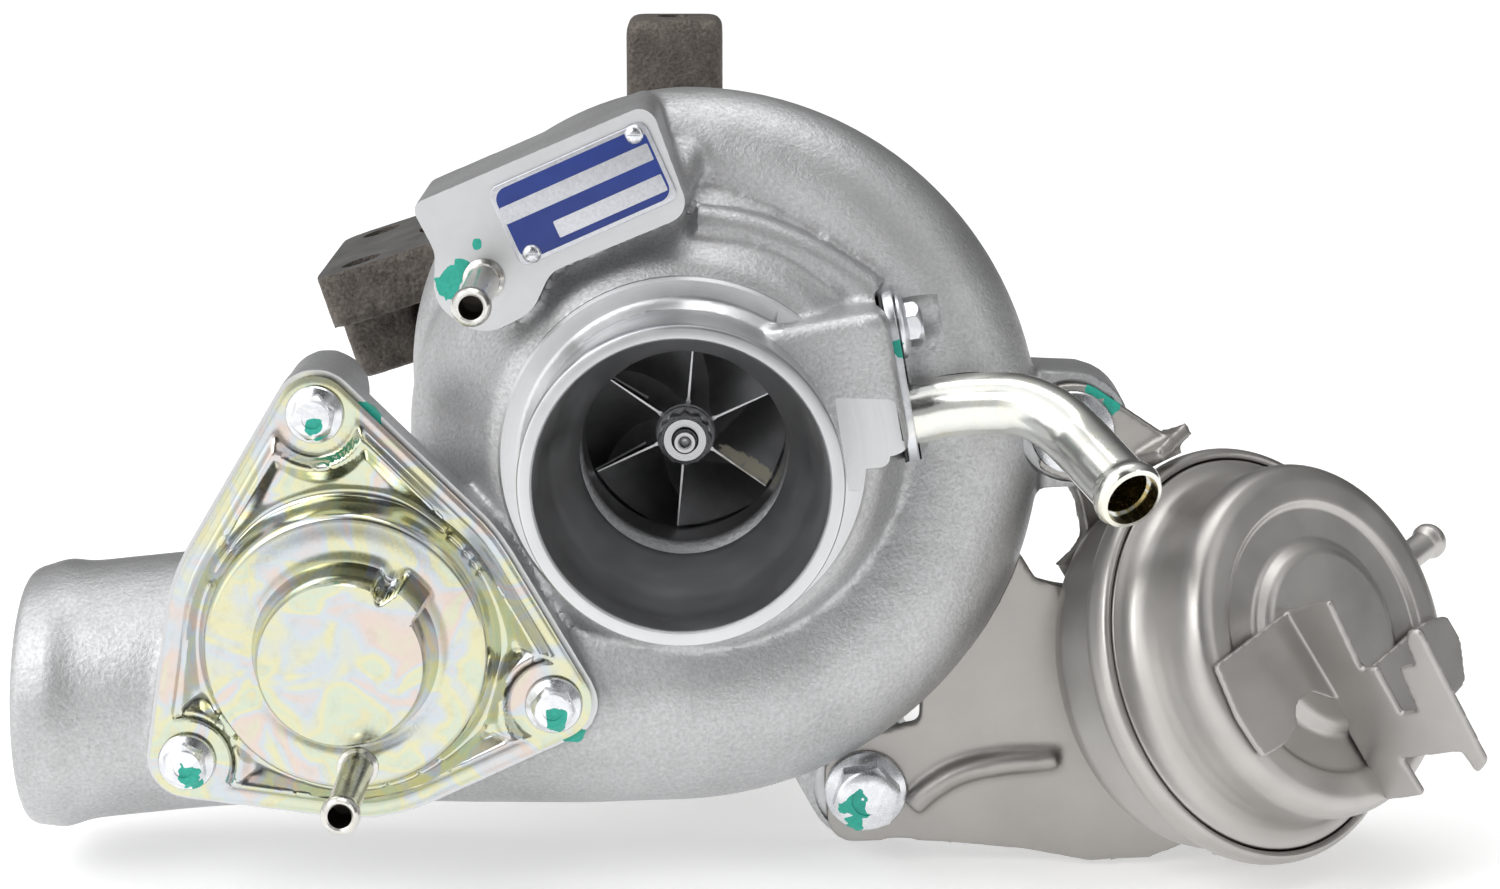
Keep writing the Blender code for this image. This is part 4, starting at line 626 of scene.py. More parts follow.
def rough_iron(name, dark, light, grain=0.9, depth=0.28):
    """Shell-moulded iron: coarse dimples, dark pits and worn bright points."""
    g = Graph(name)
    coarse = g.noise(grain, 5.0, 0.7)
    lumps = g.noise(4.5, 3.0)
    cells = g.add("ShaderNodeTexVoronoi")
    cells.inputs["Scale"].default_value = 1.0 / (1.3 * MM)
    g.link(g.position, cells.inputs["Vector"])
    height = g.maths("MULTIPLY_ADD", cells.outputs["Distance"], 0.6, coarse)
    tone = g.maths("MULTIPLY_ADD", coarse, 0.6, g.maths("MULTIPLY", lumps, 0.4))
    colour = g.ramp(tone, (0.34, dark), (0.62, light))
    rough = g.spread(coarse, 0.72, 0.52)
    normal = g.bump(height, depth, 1.0, g.bump(lumps, 0.5))
    return g.set(colour=colour, roughness=rough, metallic=0.75, normal=normal)


def heat_stained(name, colour):
    """Stainless steel after hot running: straw to blue-grey clouds over a brushed grain."""
    g = Graph(name)
    cloud = g.noise(13.0, 3.0, 0.6, distortion=0.8)
    grain = g.noise(0.4, 3.0)
    straw = tuple(c * f for c, f in zip(colour, (1.12, 1.0, 0.82)))
    blue = tuple(c * f for c, f in zip(colour, (0.86, 0.92, 1.08)))
    tone = g.ramp(cloud, (0.3, straw), (0.5, colour), (0.7, blue))
    rough = g.spread(grain, 0.36, 0.52)
    return g.set(colour=tone, roughness=rough, metallic=0.95, normal=g.bump(grain, 0.03))


def rubber_like(name):
    g = Graph(name)
    grain = g.noise(0.5, 3.0)
    colour = g.ramp(grain, (0.3, (0.012, 0.012, 0.012)), (0.7, (0.035, 0.034, 0.033)))
    return g.set(colour=colour, roughness=g.spread(grain, 0.6, 0.8), metallic=0.0,
                 normal=g.bump(grain, 0.03))


def enamel_plate(name):
    """Nameplate: blue enamel with two plain bright bars and a thin bright border."""
    g = Graph(name)
    tilt = math.radians(PLATE_TILT)
    along = Vector((math.cos(tilt), 0, math.sin(tilt)))
    up = Vector((-math.sin(tilt), 0, math.cos(tilt)))
    centre = Vector((PLATE_CENTRE[0], PAD_Y, PLATE_CENTRE[1]))

    def ruler(direction):
        node = g.add("ShaderNodeVectorMath", operation="DOT_PRODUCT")
        node.inputs[1].default_value = direction
        g.link(g.position, node.inputs[0])
        offset = (centre - PORT).dot(direction)
        return g.maths("SUBTRACT", g.maths("DIVIDE", node.outputs["Value"], MM), offset)

    across, height = ruler(along), ruler(up)

    def bar(left, right, low, high, corner=0.3):
        """Mask of a box with rounded corners."""
        middle, half = (left + right) / 2, (right - left) / 2 - corner
        middle_z, half_z = (low + high) / 2, (high - low) / 2 - corner
        out_x = g.maths("SUBTRACT", g.maths("ABSOLUTE", g.maths("SUBTRACT", across, middle)), half)
        out_z = g.maths("SUBTRACT", g.maths("ABSOLUTE", g.maths("SUBTRACT", height, middle_z)), half_z)
        out_x, out_z = g.maths("MAXIMUM", out_x, 0.0), g.maths("MAXIMUM", out_z, 0.0)
        away = g.maths("ADD", g.maths("POWER", out_x, 2.0), g.maths("POWER", out_z, 2.0))
        return g.maths("LESS_THAN", away, corner ** 2)

    silver = g.maths("MAXIMUM", bar(-16.1, 15.6, 0.6, 4.1), bar(-7.6, 15.6, -6.0, -2.5))
    border = g.maths("SUBTRACT", 1.0, bar(-16.1, 16.1, -7.5, 7.5, 2.6))
    silver = g.maths("MAXIMUM", silver, border)
    fleck = g.noise(0.6, 4.0, 0.7)
    blue = g.ramp(g.noise(6.0, 2.0), (0.3, (0.008, 0.028, 0.19)), (0.7, (0.012, 0.038, 0.23)))
    metal = g.ramp(fleck, (0.3, (0.50, 0.51, 0.55)), (0.7, (0.66, 0.67, 0.70)))
    colour = g.mix(silver, blue, metal)
    rough = g.maths("MULTIPLY_ADD", silver, -0.06, g.spread(fleck, 0.34, 0.46))
    normal = g.bump(silver, 0.03, 1.0, g.bump(fleck, 0.012))
    return g.set(colour=colour, roughness=rough, metallic=g.maths("MULTIPLY", silver, 0.9), normal=normal)


BRIGHT_ZINC = ((0.70, 0.71, 0.74), (0.78, 0.79, 0.81), (0.66, 0.675, 0.71), (0.74, 0.745, 0.74))
ZINC = plated_metal("bright_zinc", BRIGHT_ZINC, 0.22, 8.0, 0.02, 0.4)
NIPPLE_STEEL = plated_metal("nipple_zinc", ((0.62, 0.60, 0.55), (0.70, 0.69, 0.66), (0.58, 0.57, 0.53)),
                            0.2, 6.0)
# painted shade: a near-black colour that stands in for the shade inside the nipple bores
NIPPLE_BORE_SHADE = turned_metal("nipple_bore", (0.10, 0.09, 0.075), 0.45)
STEEL_BRIGHT = turned_metal("turned_steel", (0.50, 0.50, 0.51), 0.26, (0, 0, 0), (0, 1, 0))
HOT_STEEL = heat_stained("hot_steel", (0.42, 0.40, 0.37))
IRON_FACE = turned_metal("milled_iron", (0.42, 0.41, 0.40), 0.34)
SPRING = satin_steel("spring_wire", (0.22, 0.21, 0.21), 0.3)
RUBBER = rubber_like("seal_rubber")
CAN_STEEL = satin_steel("canister_blasted", (0.50, 0.485, 0.465), 0.38)
CLIP_STEEL = satin_steel("clip_blasted", (0.45, 0.435, 0.42), 0.42)


# ---- compressor housing --------------------------------------------------------------------------------
def scroll_outer(angle):
    if angle > 90:
        return 70.7 - 11.0 * ((angle - 90) / 72) ** 1.3
    return 70.7 + 6.6 * ((90 - angle) / 180) ** 1.3


def section_ring(middle, radial, radius, sides):
    points = []
    for k in range(sides):
        angle = 2 * math.pi * k / sides
        points.append(middle + (radial * math.cos(angle) + Vector((0, 1, 0)) * math.sin(angle)) * radius)
    return points


def scroll_sections(shrink, sides, steps):
    """Rings of the scroll and its outlet pipe, made smaller by shrink."""
    sections = []
    for i in range(steps + 1):
        part = i / steps
        angle = SCROLL_START + (SCROLL_END - SCROLL_START) * part
        outer = 10.0 + 14.3 * part
        centre = scroll_outer(angle) - outer
        depth = SCROLL_BACK_Y - (outer - SCROLL_WALL)
        radial = Vector((math.cos(math.radians(angle)), 0, math.sin(math.radians(angle))))
        sections.append(section_ring(radial * centre + Vector((0, depth, 0)), radial, outer - shrink,
                                     sides))
    stations = smooth_route([(-22, 50.3, -53.2), (-45, 52.5, -53.0), (-70, 55.5, -52.8), (-95, 57.0, -53.6),
                             (-116, 57.0, -55.5), (-130, 57.0, -57.1), (OUTLET_END_X, 57.0, -58.0)], 8)
    for point in stations:
        travelled = -point.x
        radius = 25.0 + 2.2 * min(max((travelled - 22) / 70, 0), 1)
        radius += 1.1 * math.exp(-((travelled - 130.6) / 3.6) ** 2) if not shrink else 0
        radius -= 1.4 * max(0.0, (travelled - 136.0) / 2.2) ** 2 if not shrink else 0
        sections.append(section_ring(point, Vector((0, 0, -1)), radius - shrink, sides))
    return sections


def bypass_outline(grow):
    lobes = [(x, z, 8.6 + grow) for x, z in BYPASS_BOLTS]
    return hull_outline(lobes + [(*BYPASS_CENTRE, 37.6 + grow)])


def nameplate_outline(grow=0.0):
    corners = [
        (-53.4 - grow, 51.3 + grow, 2), (-8.2, 70.6 + grow, 2), (-5.4 + grow, 69.2 + grow, 2),
        (1.0 + grow, 51.6, 3), (-0.6 + grow, 48.6 - grow, 3), (-26.0 + grow, 38.0 - grow, 5),
        (-29.6 + grow, 30.0, 8), (-39.5, 25.0 - grow, 8), (-49.3 - grow, 31.5, 8), (-48.6 - grow, 42.0, 6),
    ]
    return rounded_outline(corners)


def housing_lugs():
    """Everything cast on to the front of the scroll."""
    proud = 1.5
    x, z = BYPASS_CENTRE
    lugs = [
        plate("bypass_flange", bypass_outline(0), 8.6 + proud, on_shaft(PAD_Y - proud)),
        disc("bypass_body", 33.0, 5.0, 34.0, on_shaft(PAD_Y, x, z)),
        plate("nameplate_pad", nameplate_outline(), 34.0 + proud, on_shaft(PAD_Y - proud)),
        block("tube_lug", (26 + proud, 34, 30),
              frame_at((28.5 + proud / 2, 36.5, 14.0), (-0.176, 0, 0.985), (0.985, 0, 0.176)), bevel=3.0),
        sweep("top_rib", [(2, 37, 46), (14, 38, 43.5), (26, 38, 38.5), (38, 37, 31)], 4.2, 6, 20),
        sweep("side_rib", [(-3, 33, 50), (-1, 40, 54), (2, 50, 60)], 3.6, 6, 20),
    ]
    for bolt_x, bolt_z in BYPASS_BOLTS:
        lugs.append(disc("bypass_boss", 8.4, 5.0, 24.0, on_shaft(PAD_Y, bolt_x, bolt_z)))
    for bolt_x, bolt_z in ACT_BOLTS:
        inward = -Vector((bolt_x, 0, bolt_z)).normalized()
        lug = hull_outline([(bolt_x, bolt_z, EAR_RADIUS + 2),
                            (bolt_x + inward.x * 16, bolt_z + inward.z * 16, 13.0)])
        lugs.append(plate("actuator_lug", lug, 16.0 + proud,
                          on_shaft(BRACKET_Y + BRACKET_THICKNESS - proud)))
    return lugs


def housing_bore():
    profile = [
        (0, -4), (29.4, -4), (29.4, -0.2), (28.7, 0.6), (28.5, 5.0), (27.9, 11), (26.4, 17), (24.2, 22.5),
        (22.3, 27), (21.2, 30), (THROAT_RADIUS, 31.4), (THROAT_RADIUS, 32.4), (21.6, 33.2), (24.5, 34.6),
        (24.5, 40.6), (22.0, 42.2), (THROAT_RADIUS, 43.4), (20.7, 53), (21.4, 58), (23.2, 62.5),
        (26.0, 65.8),
        (30.0, 67.5), (50.5, 67.5), (50.5, 72.0), (51.9, 72.0), (51.9, 77.1), (54.0, 77.1), (54.0, 78.6),
        (52.6, 78.6), (52.6, 81), (0, 81),
    ]
    return turned("housing_bore", rounded(profile, 1.6, 3), on_shaft(), 160)


def housing_neck():
    """Machined inlet neck with its lip, running down to the faced step."""
    profile = [
        (20.0, 0), (31.0, 0), (31.5, 0.25), (RIM_RADIUS, 0.8), (RIM_RADIUS, 3.6), (31.5, 4.4), (30.9, 5.4),
        (30.8, 6.4), (30.8, 20.6), (31.1, 22.2), (32.0, 23.6), (33.4, 24.2), (36.4, 24.3), (37.0, 24.9),
        (37.0, 30.0), (20.0, 30.0),
    ]
    return turned("housing_neck", profile, on_shaft(), 160)


def nipple_seat(place, radius):
    """Cutter for the bored hole that a nipple is pressed into."""
    return disc("bored_hole", radius, -3, 14.0, place, SMALL_STEPS)


def housing_machining():
    face = BRACKET_Y + BRACKET_THICKNESS + 0.3
    x, z = BYPASS_CENTRE
    sections = scroll_sections(SCROLL_WALL, 40, 40)
    passage = loft("scroll_passage", sections + [[point + Vector((-10, 0, 0)) for point in sections[-1]]])
    cut(passage, plate("pocket_floor", hull_outline([(TUBE_HOLE, 0, 13.0), (TUBE_BOLT, 0, 11.0)]), 18.0,
                       tube_plate_frame(0, 16.0)))
    tools = [
        passage,
        housing_bore(),
        plate("bypass_facing", bypass_outline(5), 20.0, on_shaft(PAD_Y - 20.0)),
        plate("nameplate_facing", nameplate_outline(4), 20.0, on_shaft(PAD_Y - 20.0)),
        plate("tube_facing", hull_outline([(TUBE_HOLE, 0, 10.2), (TUBE_BOLT, 0, 7.6)]), 3.4,
              tube_plate_frame(0, 3.45)),
        disc("bolt_room", 6.9, -12.0, 0.5, tube_plate_frame(TUBE_BOLT), SMALL_STEPS),
        plate("tab_facing", rounded_outline([(30.0, 13.7, 0.5), (41.9, 13.4, 2.5), (46.0, -6.0, 0.5),
                                             (33.0, -6.0, 0.5)]),
              12.0, on_shaft(NECK_FACE_Y - 12.2)),
        disc("valve_chamber", 24.0, -2.0, 9.0, on_shaft(PAD_Y, x, z)),
        nipple_seat(on_shaft(PAD_Y, *NIPPLE_CENTRE), 3.7),
        disc("tube_bore", TUBE_RADIUS + 0.5, -20, 16, tube_plate_frame(TUBE_HOLE), SMALL_STEPS),
        nipple_seat(tube_plate_frame(TUBE_BOLT), 3.3),
    ]
    for bolt_x, bolt_z in ACT_BOLTS:
        tools.append(disc("actuator_spotface", EAR_RADIUS + 0.7, -30, 0, on_shaft(face, bolt_x, bolt_z)))
        tools.append(disc("actuator_tapping", 4.3, -3, 13, on_shaft(face, bolt_x, bolt_z), SMALL_STEPS))
    return tools


def housing_faces(centre, normal):
    """0 is the cast skin, 1 a machined face."""
    radius = math.hypot(centre.x, centre.z)
    lip, flare, step = (6.0, 33.0), (20.7, 30.95), (24.2, 33.5)
    turned_radius = next((wide for depth, wide in (lip, flare, step) if centre.y < depth), 37.05)
    if radius < turned_radius and centre.y < 30.05:
        return 1
    if radius < 30 and centre.y < 33.4:
        return 1
    if normal.y < -0.99 and min(abs(centre.y - PAD_Y), abs(centre.y - NECK_FACE_Y + 0.2)) < 0.1:
        return 1
    if radius < 21.0 and centre.y < 60:
        return 1
    plate_normal = Vector((math.cos(math.radians(TUBE_TILT)), 0, math.sin(math.radians(TUBE_TILT))))
    if normal.dot(plate_normal) > 0.99 and abs((centre - TUBE_PLATE_CENTRE).dot(plate_normal)) < 0.3:
        return 1
    if normal.y < -0.99 and abs(centre.y - BRACKET_Y - BRACKET_THICKNESS - 0.3) < 0.1:
        return 1
    if centre.x < OUTLET_END_X + 0.1:
        return 1
    return 0


HOUSING_MARKS = (
    ((-62.6, PAD_Y, 9.6), 2.6), ((-46.8, PAD_Y, 35.2), 2.4), ((-45.6, PAD_Y, 37.6), 2.2),
    ((-43.4, PAD_Y, 39.4), 1.7),
    ((-40.4, PAD_Y, 43.6), 1.1), ((34.4, 27.0, 25.0), 3.3), ((37.0, 27.0, 24.0), 2.8),
    ((-21.6, PAD_Y, -57.6), 2.2),
)


def compressor_housing():
    front = [
        (0, 20.0), (30.0, 20.0), (33.0, 24.6), (36.6, 26.6), (39.6, 28.2), (43.4, 33.6), (52.0, 44.0),
        (57.0, 52.0),
        (57.5, 62.0), (56.5, 79.5), (0, 79.5),
    ]
    skin = turned("housing_skin", rounded(front, 3.0, 4), on_shaft())
    join(skin, loft("scroll_skin", scroll_sections(0, 64, 90)), *housing_lugs())
    as_cast(skin, 1.0, 5)
    tab = [(30.0, 14.2, 0.5), (41.2, 13.6, 3), (41.2, -1.2, 3), (36.2, -1.6, 2), (30.0, -1.6, 0.5)]
    join(skin, housing_neck(), plate("milled_tab", rounded_outline(tab), 9.0, on_shaft(NECK_FACE_Y - 0.2)))
    cut(skin, *housing_machining())
    cast = cast_metal("die_cast_aluminium", (0.40, 0.402, 0.408), (0.60, 0.603, 0.61), 0.44, 0.92, 0.8,
                      0.16,
                      marks=HOUSING_MARKS)
    faced = turned_metal("turned_aluminium", (0.64, 0.645, 0.655), 0.34, (0, 0, 0), (0, 1, 0),
                         marks=HOUSING_MARKS)
    piece(skin, "housing_casting", "housing", "cast_aluminium", [cast, faced], "compressor_housing",
          paint=housing_faces, sharp=32)


# ---- nipples and bolts -----------------------------------------------------------------------------------
def nipple(name, place, length, body, node, material):
    """Hose nipple with a rolled bead and an open bore, whose inside is painted near-black as shade."""
    profile = [
        (2.35, -length + 0.3), (2.7, -length), (3.1, -length), (3.6, -length + 0.5), (3.85, -length + 1.3),
        (3.85, -length + 2.2), (3.55, -length + 3.1), (3.25, -length + 3.7), (3.2, -length + 5.0),
        (3.2, -1.4),
        (3.35, -0.9), (4.1, -0.5), (4.2, -0.1), (4.1, 0.0), (3.0, 0.0), (3.0, 3.0), (2.35, 3.0),
    ]
    dark_end = turned(name, profile, place, SMALL_STEPS)
    join(dark_end, disc("nipple_plug", 2.6, -length + 9.0, 2.5, place, SMALL_STEPS))
    # faces inside the bore get the painted shade material
    return piece(dark_end, name, body, "zinc_plate", [material, NIPPLE_BORE_SHADE], node,
                 paint=lambda centre, normal: 1 if is_inside_bore(centre, place, 2.36) else 0)


def is_inside_bore(centre, place, radius):
    local = place.inverted() @ (centre * MM)
    return math.hypot(local.x, local.y) < radius * MM


def hex_bolt(name, place, across, flange, shank, length, body, slot_name, material, *nodes):
    """Flanged hex bolt: chamfered hexagon on a dished collar, with a rolled shank."""
    height = across * 0.60
    head_profile = [(0, -height), (across * 0.43, -height), (across * 0.50, -height + 0.45),
                    (across * 0.60, -height + 1.6), (across * 0.60, 0.5), (0, 0.5)]
    corners = []
    radius = across / 2 / math.cos(math.pi / 6)
    for k in range(6):
        corners.append((radius * math.cos(math.pi / 3 * k), radius * math.sin(math.pi / 3 * k)))
    hexagon = plate(name, corners, height + 0.2, place @ Matrix.Translation((0, 0, height * MM)), edge=0.18)
    combine(hexagon, [turned("head_chamfer", head_profile, place, SMALL_STEPS)], "INTERSECT")
    collar = [
        (0, -2.4), (across * 0.44, -2.4), (across * 0.5, -1.9), (flange - 0.9, -1.35),
        (flange - 0.25, -1.0),
        (flange, -0.6), (flange, -0.1), (flange - 0.2, 0), (shank, 0), (shank, length - 1),
        (shank - 0.8, length),
        (0, length),
    ]
    join(hexagon, turned("bolt_collar", collar, place, SMALL_STEPS))
    cut(hexagon, turned("head_dimple", [(0, -height - 1), (across * 0.27, -height - 1),
                                        (across * 0.25, -height + 0.35),
                                        (0, -height + 0.45)], place, SMALL_STEPS))
    return piece(hexagon, name, body, slot_name, [material], *nodes, sharp=28)


# ---- bypass cover ----------------------------------------------------------------------------------------
def step_between(value, low, high):
    t = min(max((value - low) / (high - low), 0.0), 1.0)
    return t * t * (3 - 2 * t)


def cap_radius(angle):
    """Radius of the cover's inner cap, with its keyed corner."""
    degrees = math.degrees(angle) % 360
    block_in = step_between(degrees, 31, 35) * (1 - step_between(degrees, 51, 55))
    dent = step_between(degrees, 53, 57) * (1 - step_between(degrees, 60, 68))
    return 17.9 + 2.3 * block_in - 1.6 * dent


def outline_sides(outline):
    """Each side of a convex outline as its inward normal and offset."""
    sides = []
    for first, second in zip(outline, outline[1:] + outline[:1]):
        along = (Vector(second) - Vector(first)).normalized()
        sides.append((-along.y, along.x, along.y * first[0] - along.x * first[1]))
    return sides


def cover_height(x, z, sides):
    """How far the pressed sheet stands out at a point measured from the cover's centre."""
    radius = math.hypot(x, z)
    cap = cap_radius(math.atan2(z, x))
    height = 7.8 * (1 - step_between(radius, 27.4, 30.4))
    height += 9.4 * (1 - step_between(radius, cap - 1.6, cap + 0.8))
    height += 0.5 * (1 - step_between(radius, 22, 28)) * step_between(radius, cap, 22)
    if radius < 30:
        return height
    inset = min(a * x + b * z + c for a, b, c in sides) - 4.4
    centre_x, centre_z = BYPASS_CENTRE
    for bolt_x, bolt_z in BYPASS_BOLTS:
        inset = min(inset, math.hypot(x + centre_x - bolt_x, z + centre_z - bolt_z) - 10.6)
    if inset > 0:
        return height + 2.2 * math.exp(-(inset / 2.0) ** 2) - 0.4 * math.exp(-((radius - 31.2) / 0.9) ** 2)
    return height + 2.2 * math.exp(-(inset / 1.15) ** 2)


def edge_distance(outline, angle):
    """Distance from the origin to an outline, along an angle."""
    ray = Vector((math.cos(angle), math.sin(angle)))
    best = 0.0
    for first, second in zip(outline, outline[1:] + outline[:1]):
        a, b = Vector(first), Vector(second)
        side = b - a
        cross = ray.x * side.y - ray.y * side.x
        if abs(cross) < 1e-9:
            continue
        along = (a.x * side.y - a.y * side.x) / cross
        share = (a.x * ray.y - a.y * ray.x) / cross
        if along > 0 and -1e-6 <= share <= 1 + 1e-6:
            best = max(best, along)
    return best


def bypass_cover():
    centre_x, centre_z = BYPASS_CENTRE
    outline = [(x - centre_x, z - centre_z) for x, z in bypass_outline(-1.0)]
    rays = 300
    inner = [0.6 * i for i in range(1, 57)]
    outer_steps = 26
    bm = bmesh.new()
    base = PAD_Y - 0.7 - 1.4
    sides = outline_sides(outline)
    hub = bm.verts.new((0, 0, cover_height(0, 0, sides) * MM))
    loops = []
    for k in range(rays):
        angle = 2 * math.pi * k / rays
        reach = edge_distance(outline, angle)
        start = inner[-1]
        radii = inner + [start + (reach - start) * (i + 1) / outer_steps for i in range(outer_steps)]
        line = []
        for radius in radii:
            x, z = radius * math.cos(angle), radius * math.sin(angle)
            fall = step_between(radius, reach - 1.2, reach)
            height = cover_height(x, z, sides) * (1 - fall) - 0.25 * fall
            line.append(bm.verts.new((x * MM, z * MM, height * MM)))
        loops.append(line)
    for first, second in zip(loops, loops[1:] + loops[:1]):
        bm.faces.new((hub, first[0], second[0]))
        for i in range(len(first) - 1):
            bm.faces.new((first[i], first[i + 1], second[i + 1], second[i]))
    cover = from_bmesh(bm, "cover_sheet", on_shaft(base, centre_x, centre_z))
    for polygon in cover.data.polygons:
        if polygon.normal.z < 0:
            polygon.flip()
    shell = cover.modifiers.new("sheet", "SOLIDIFY")
    shell.thickness = 1.3 * MM
    shell.offset = -1
    for bolt_x, bolt_z in BYPASS_BOLTS:
        cut(cover, disc("cover_hole", 2.9, -6, 3, on_shaft(PAD_Y, bolt_x, bolt_z), SMALL_STEPS))
    tints = ((0.62, 0.59, 0.39), (0.55, 0.61, 0.50), (0.64, 0.62, 0.40), (0.53, 0.58, 0.62),
             (0.64, 0.54, 0.49),
             (0.60, 0.61, 0.46))
    material = plated_metal("yellow_zinc_cover", tints, 0.15, 15.0, 0.006, 0.6)
    piece(cover, "pressed_cover", "housing", "yellow_zinc", [material], "bypass_cover", sharp=60)


def bypass_pieces():
    bypass_cover()
    nipple("cover_nipple", on_shaft(13.5, -65.0, -60.3), 32.0, "housing", "bypass_nipple", NIPPLE_STEEL)
    marks = []
    for x, z in BYPASS_BOLTS:
        marks += [((x + 0.9, PAD_Y - 6.6, z - 1.6), 2.3), ((x + 1.6, PAD_Y - 6.0, z - 4.4), 2.2)]
    material = plated_metal("bypass_bolt_zinc", BRIGHT_ZINC, 0.22, 6.0, 0.02, 0.4, marks)
    for i, (x, z) in enumerate(BYPASS_BOLTS, 1):
        place = on_shaft(PAD_Y - 2.6, x, z) @ Matrix.Rotation(math.radians(17 * i), 4, "Z")
        hex_bolt(f"cover_bolt_{i}", place, 8.0, 5.8, 2.5, 14.0, "housing", "zinc_plate", material,
                 f"bypass_bolt_{i}")


# ---- nameplate -------------------------------------------------------------------------------------------
def rivet_places():
    tilt = math.radians(PLATE_TILT)
    places = []
    for along, across in ((-14.0, -6.6), (14.0, 6.6)):
        x = PLATE_CENTRE[0] + along * math.cos(tilt) - across * math.sin(tilt)
        z = PLATE_CENTRE[1] + along * math.sin(tilt) + across * math.cos(tilt)
        places.append((x, z))
    return places


def nameplate_pieces():
    x, z = PLATE_CENTRE
    tilt = math.radians(PLATE_TILT)
    place = frame_at((x, PAD_Y - 1.1, z), (0, -1, 0), (math.cos(tilt), 0, math.sin(tilt)))
    corners = [(-17.0, -8.4, 2.4), (17.0, -8.4, 2.4), (17.0, 8.4, 2.4), (-17.0, 8.4, 2.4)]
    label = plate("label", rounded_outline(corners), 0.8, place, edge=0.15)
    piece(label, "name_label", "housing", "blue_plate", [enamel_plate("blue_enamel")], "nameplate")
    for i, (hole_x, hole_z) in enumerate(rivet_places(), 1):
        rivet_place = on_shaft(PAD_Y - 1.1, hole_x, hole_z)
        profile = [(0, -0.95), (0.6, -0.92), (1.2, -0.75), (1.7, -0.35), (1.9, 0.0), (1.0, 0.05), (1.0, 4),
                   (0, 4)]
        rivet = turned("rivet", profile, rivet_place, 32)
        cut(rivet, block("drive_slot", (2.6, 0.35, 1.0),
                         rivet_place @ Matrix.Translation((0, 0, 0.95 * MM))))
        piece(rivet, f"label_rivet_{i}", "housing", "zinc_plate", [ZINC], f"nameplate_rivet_{i}")
    nipple("boost_hose_nipple", on_shaft(PAD_Y - 0.3, *NIPPLE_CENTRE), 33.0, "housing", "boost_nipple",
           NIPPLE_STEEL)


# ---- bleed tube ------------------------------------------------------------------------------------------
def bleed_tube_pieces():
    top = 0.5 + 0.3 + 2.2
    outline = hull_outline([(TUBE_HOLE, 0, 9.6), (TUBE_BOLT, 0, 7.6)])
    seal_outline = hull_outline([(TUBE_HOLE, 0, 9.2), (TUBE_BOLT, 0, 7.2)])
    seal = plate("seal", seal_outline, 0.5, tube_plate_frame(0, 0.65))
    flange = plate("flange", outline, 2.2, tube_plate_frame(0, top), edge=0.35)
    for part, radius in ((seal, TUBE_RADIUS + 0.3), (flange, TUBE_RADIUS + 0.05)):
        cut(part, disc("tube_clearance", radius, -6, 6, tube_plate_frame(TUBE_HOLE), SMALL_STEPS),
            disc("tube_bolt_clearance", 3.3, -6, 6, tube_plate_frame(TUBE_BOLT), SMALL_STEPS))
    piece(seal, "flange_seal", "housing", "rubber", [RUBBER], "tube_gasket")
    marks = (((44.0, 25.0, 22.6), 2.6), ((44.5, 26.5, 30.5), 2.2), ((49.0, 29.0, 29.5), 2.0))
    marked = plated_metal("tube_flange_zinc", BRIGHT_ZINC, 0.3, 8.0, 0.03, 0.4, marks)
    piece(flange, "tube_mounting_flange", "housing", "plated_tube", [marked], "tube_flange")
    hex_bolt("tube_bolt", tube_plate_frame(TUBE_BOLT, top + 0.3), 8.0, 6.6, 3.0, 13.0, "housing",
             "zinc_plate",
             marked, "tube_flange_bolt")
    start = tube_plate_frame(TUBE_HOLE, -6.0).translation / MM
    seat = tube_plate_frame(TUBE_HOLE, top).translation / MM
    route = [
        start, seat, (52.0, 34.0, 8.9), (60.5, 32.6, 10.0), (67.5, 30.8, 10.0), (73.5, 27.4, 8.0),
        (78.5, 22.5, 4.4), (82.6, 14.0, 0.9), (86.4, 6.2, -2.4),
    ]
    tube = sweep("tube", route, TUBE_RADIUS, 12, 48)
    end = Vector(route[-1])
    mouth = end - Vector(route[-2])
    bead = [(4.8, -2.6), (5.6, -2.6), (6.5, -2.3), (7.0, -1.6), (7.2, -0.6), (7.0, 0.5), (6.4, 1.5),
            (6.2, 2.6), (4.8, 2.6)]
    join(tube, turned("tube_bead", bead, frame_at(end, mouth), 64))
    bore = [Vector(start) * 2 - seat] + route + [end + mouth]
    cut(tube, sweep("tube_inside", bore, TUBE_RADIUS - 1.1, 12, 40),
        disc("tube_mouth", 5.6, -8.0, 1.2, frame_at(end, mouth), 64))
    outside = plated_metal("tube_zinc", ((0.80, 0.79, 0.72), (0.74, 0.75, 0.72), (0.82, 0.80, 0.68)), 0.16,
                           14.0, 0.015, 0.5)
    inside = plated_metal("tube_inside_zinc", ((0.52, 0.40, 0.16), (0.66, 0.54, 0.26), (0.44, 0.33, 0.14)),
                          0.24, 4.0,
                          0.03, 0.5)
    line = smooth_route(route, 12)

    def inner(centre, normal):
        nearest = min(line, key=lambda point: (point - centre).length_squared)
        close = (nearest - centre).length < TUBE_RADIUS - 0.5
        return 1 if close and normal.dot(centre - nearest) < 0 else 0

    piece(tube, "plated_bleed_tube", "housing", "plated_tube", [outside, inside], "bleed_tube", paint=inner)


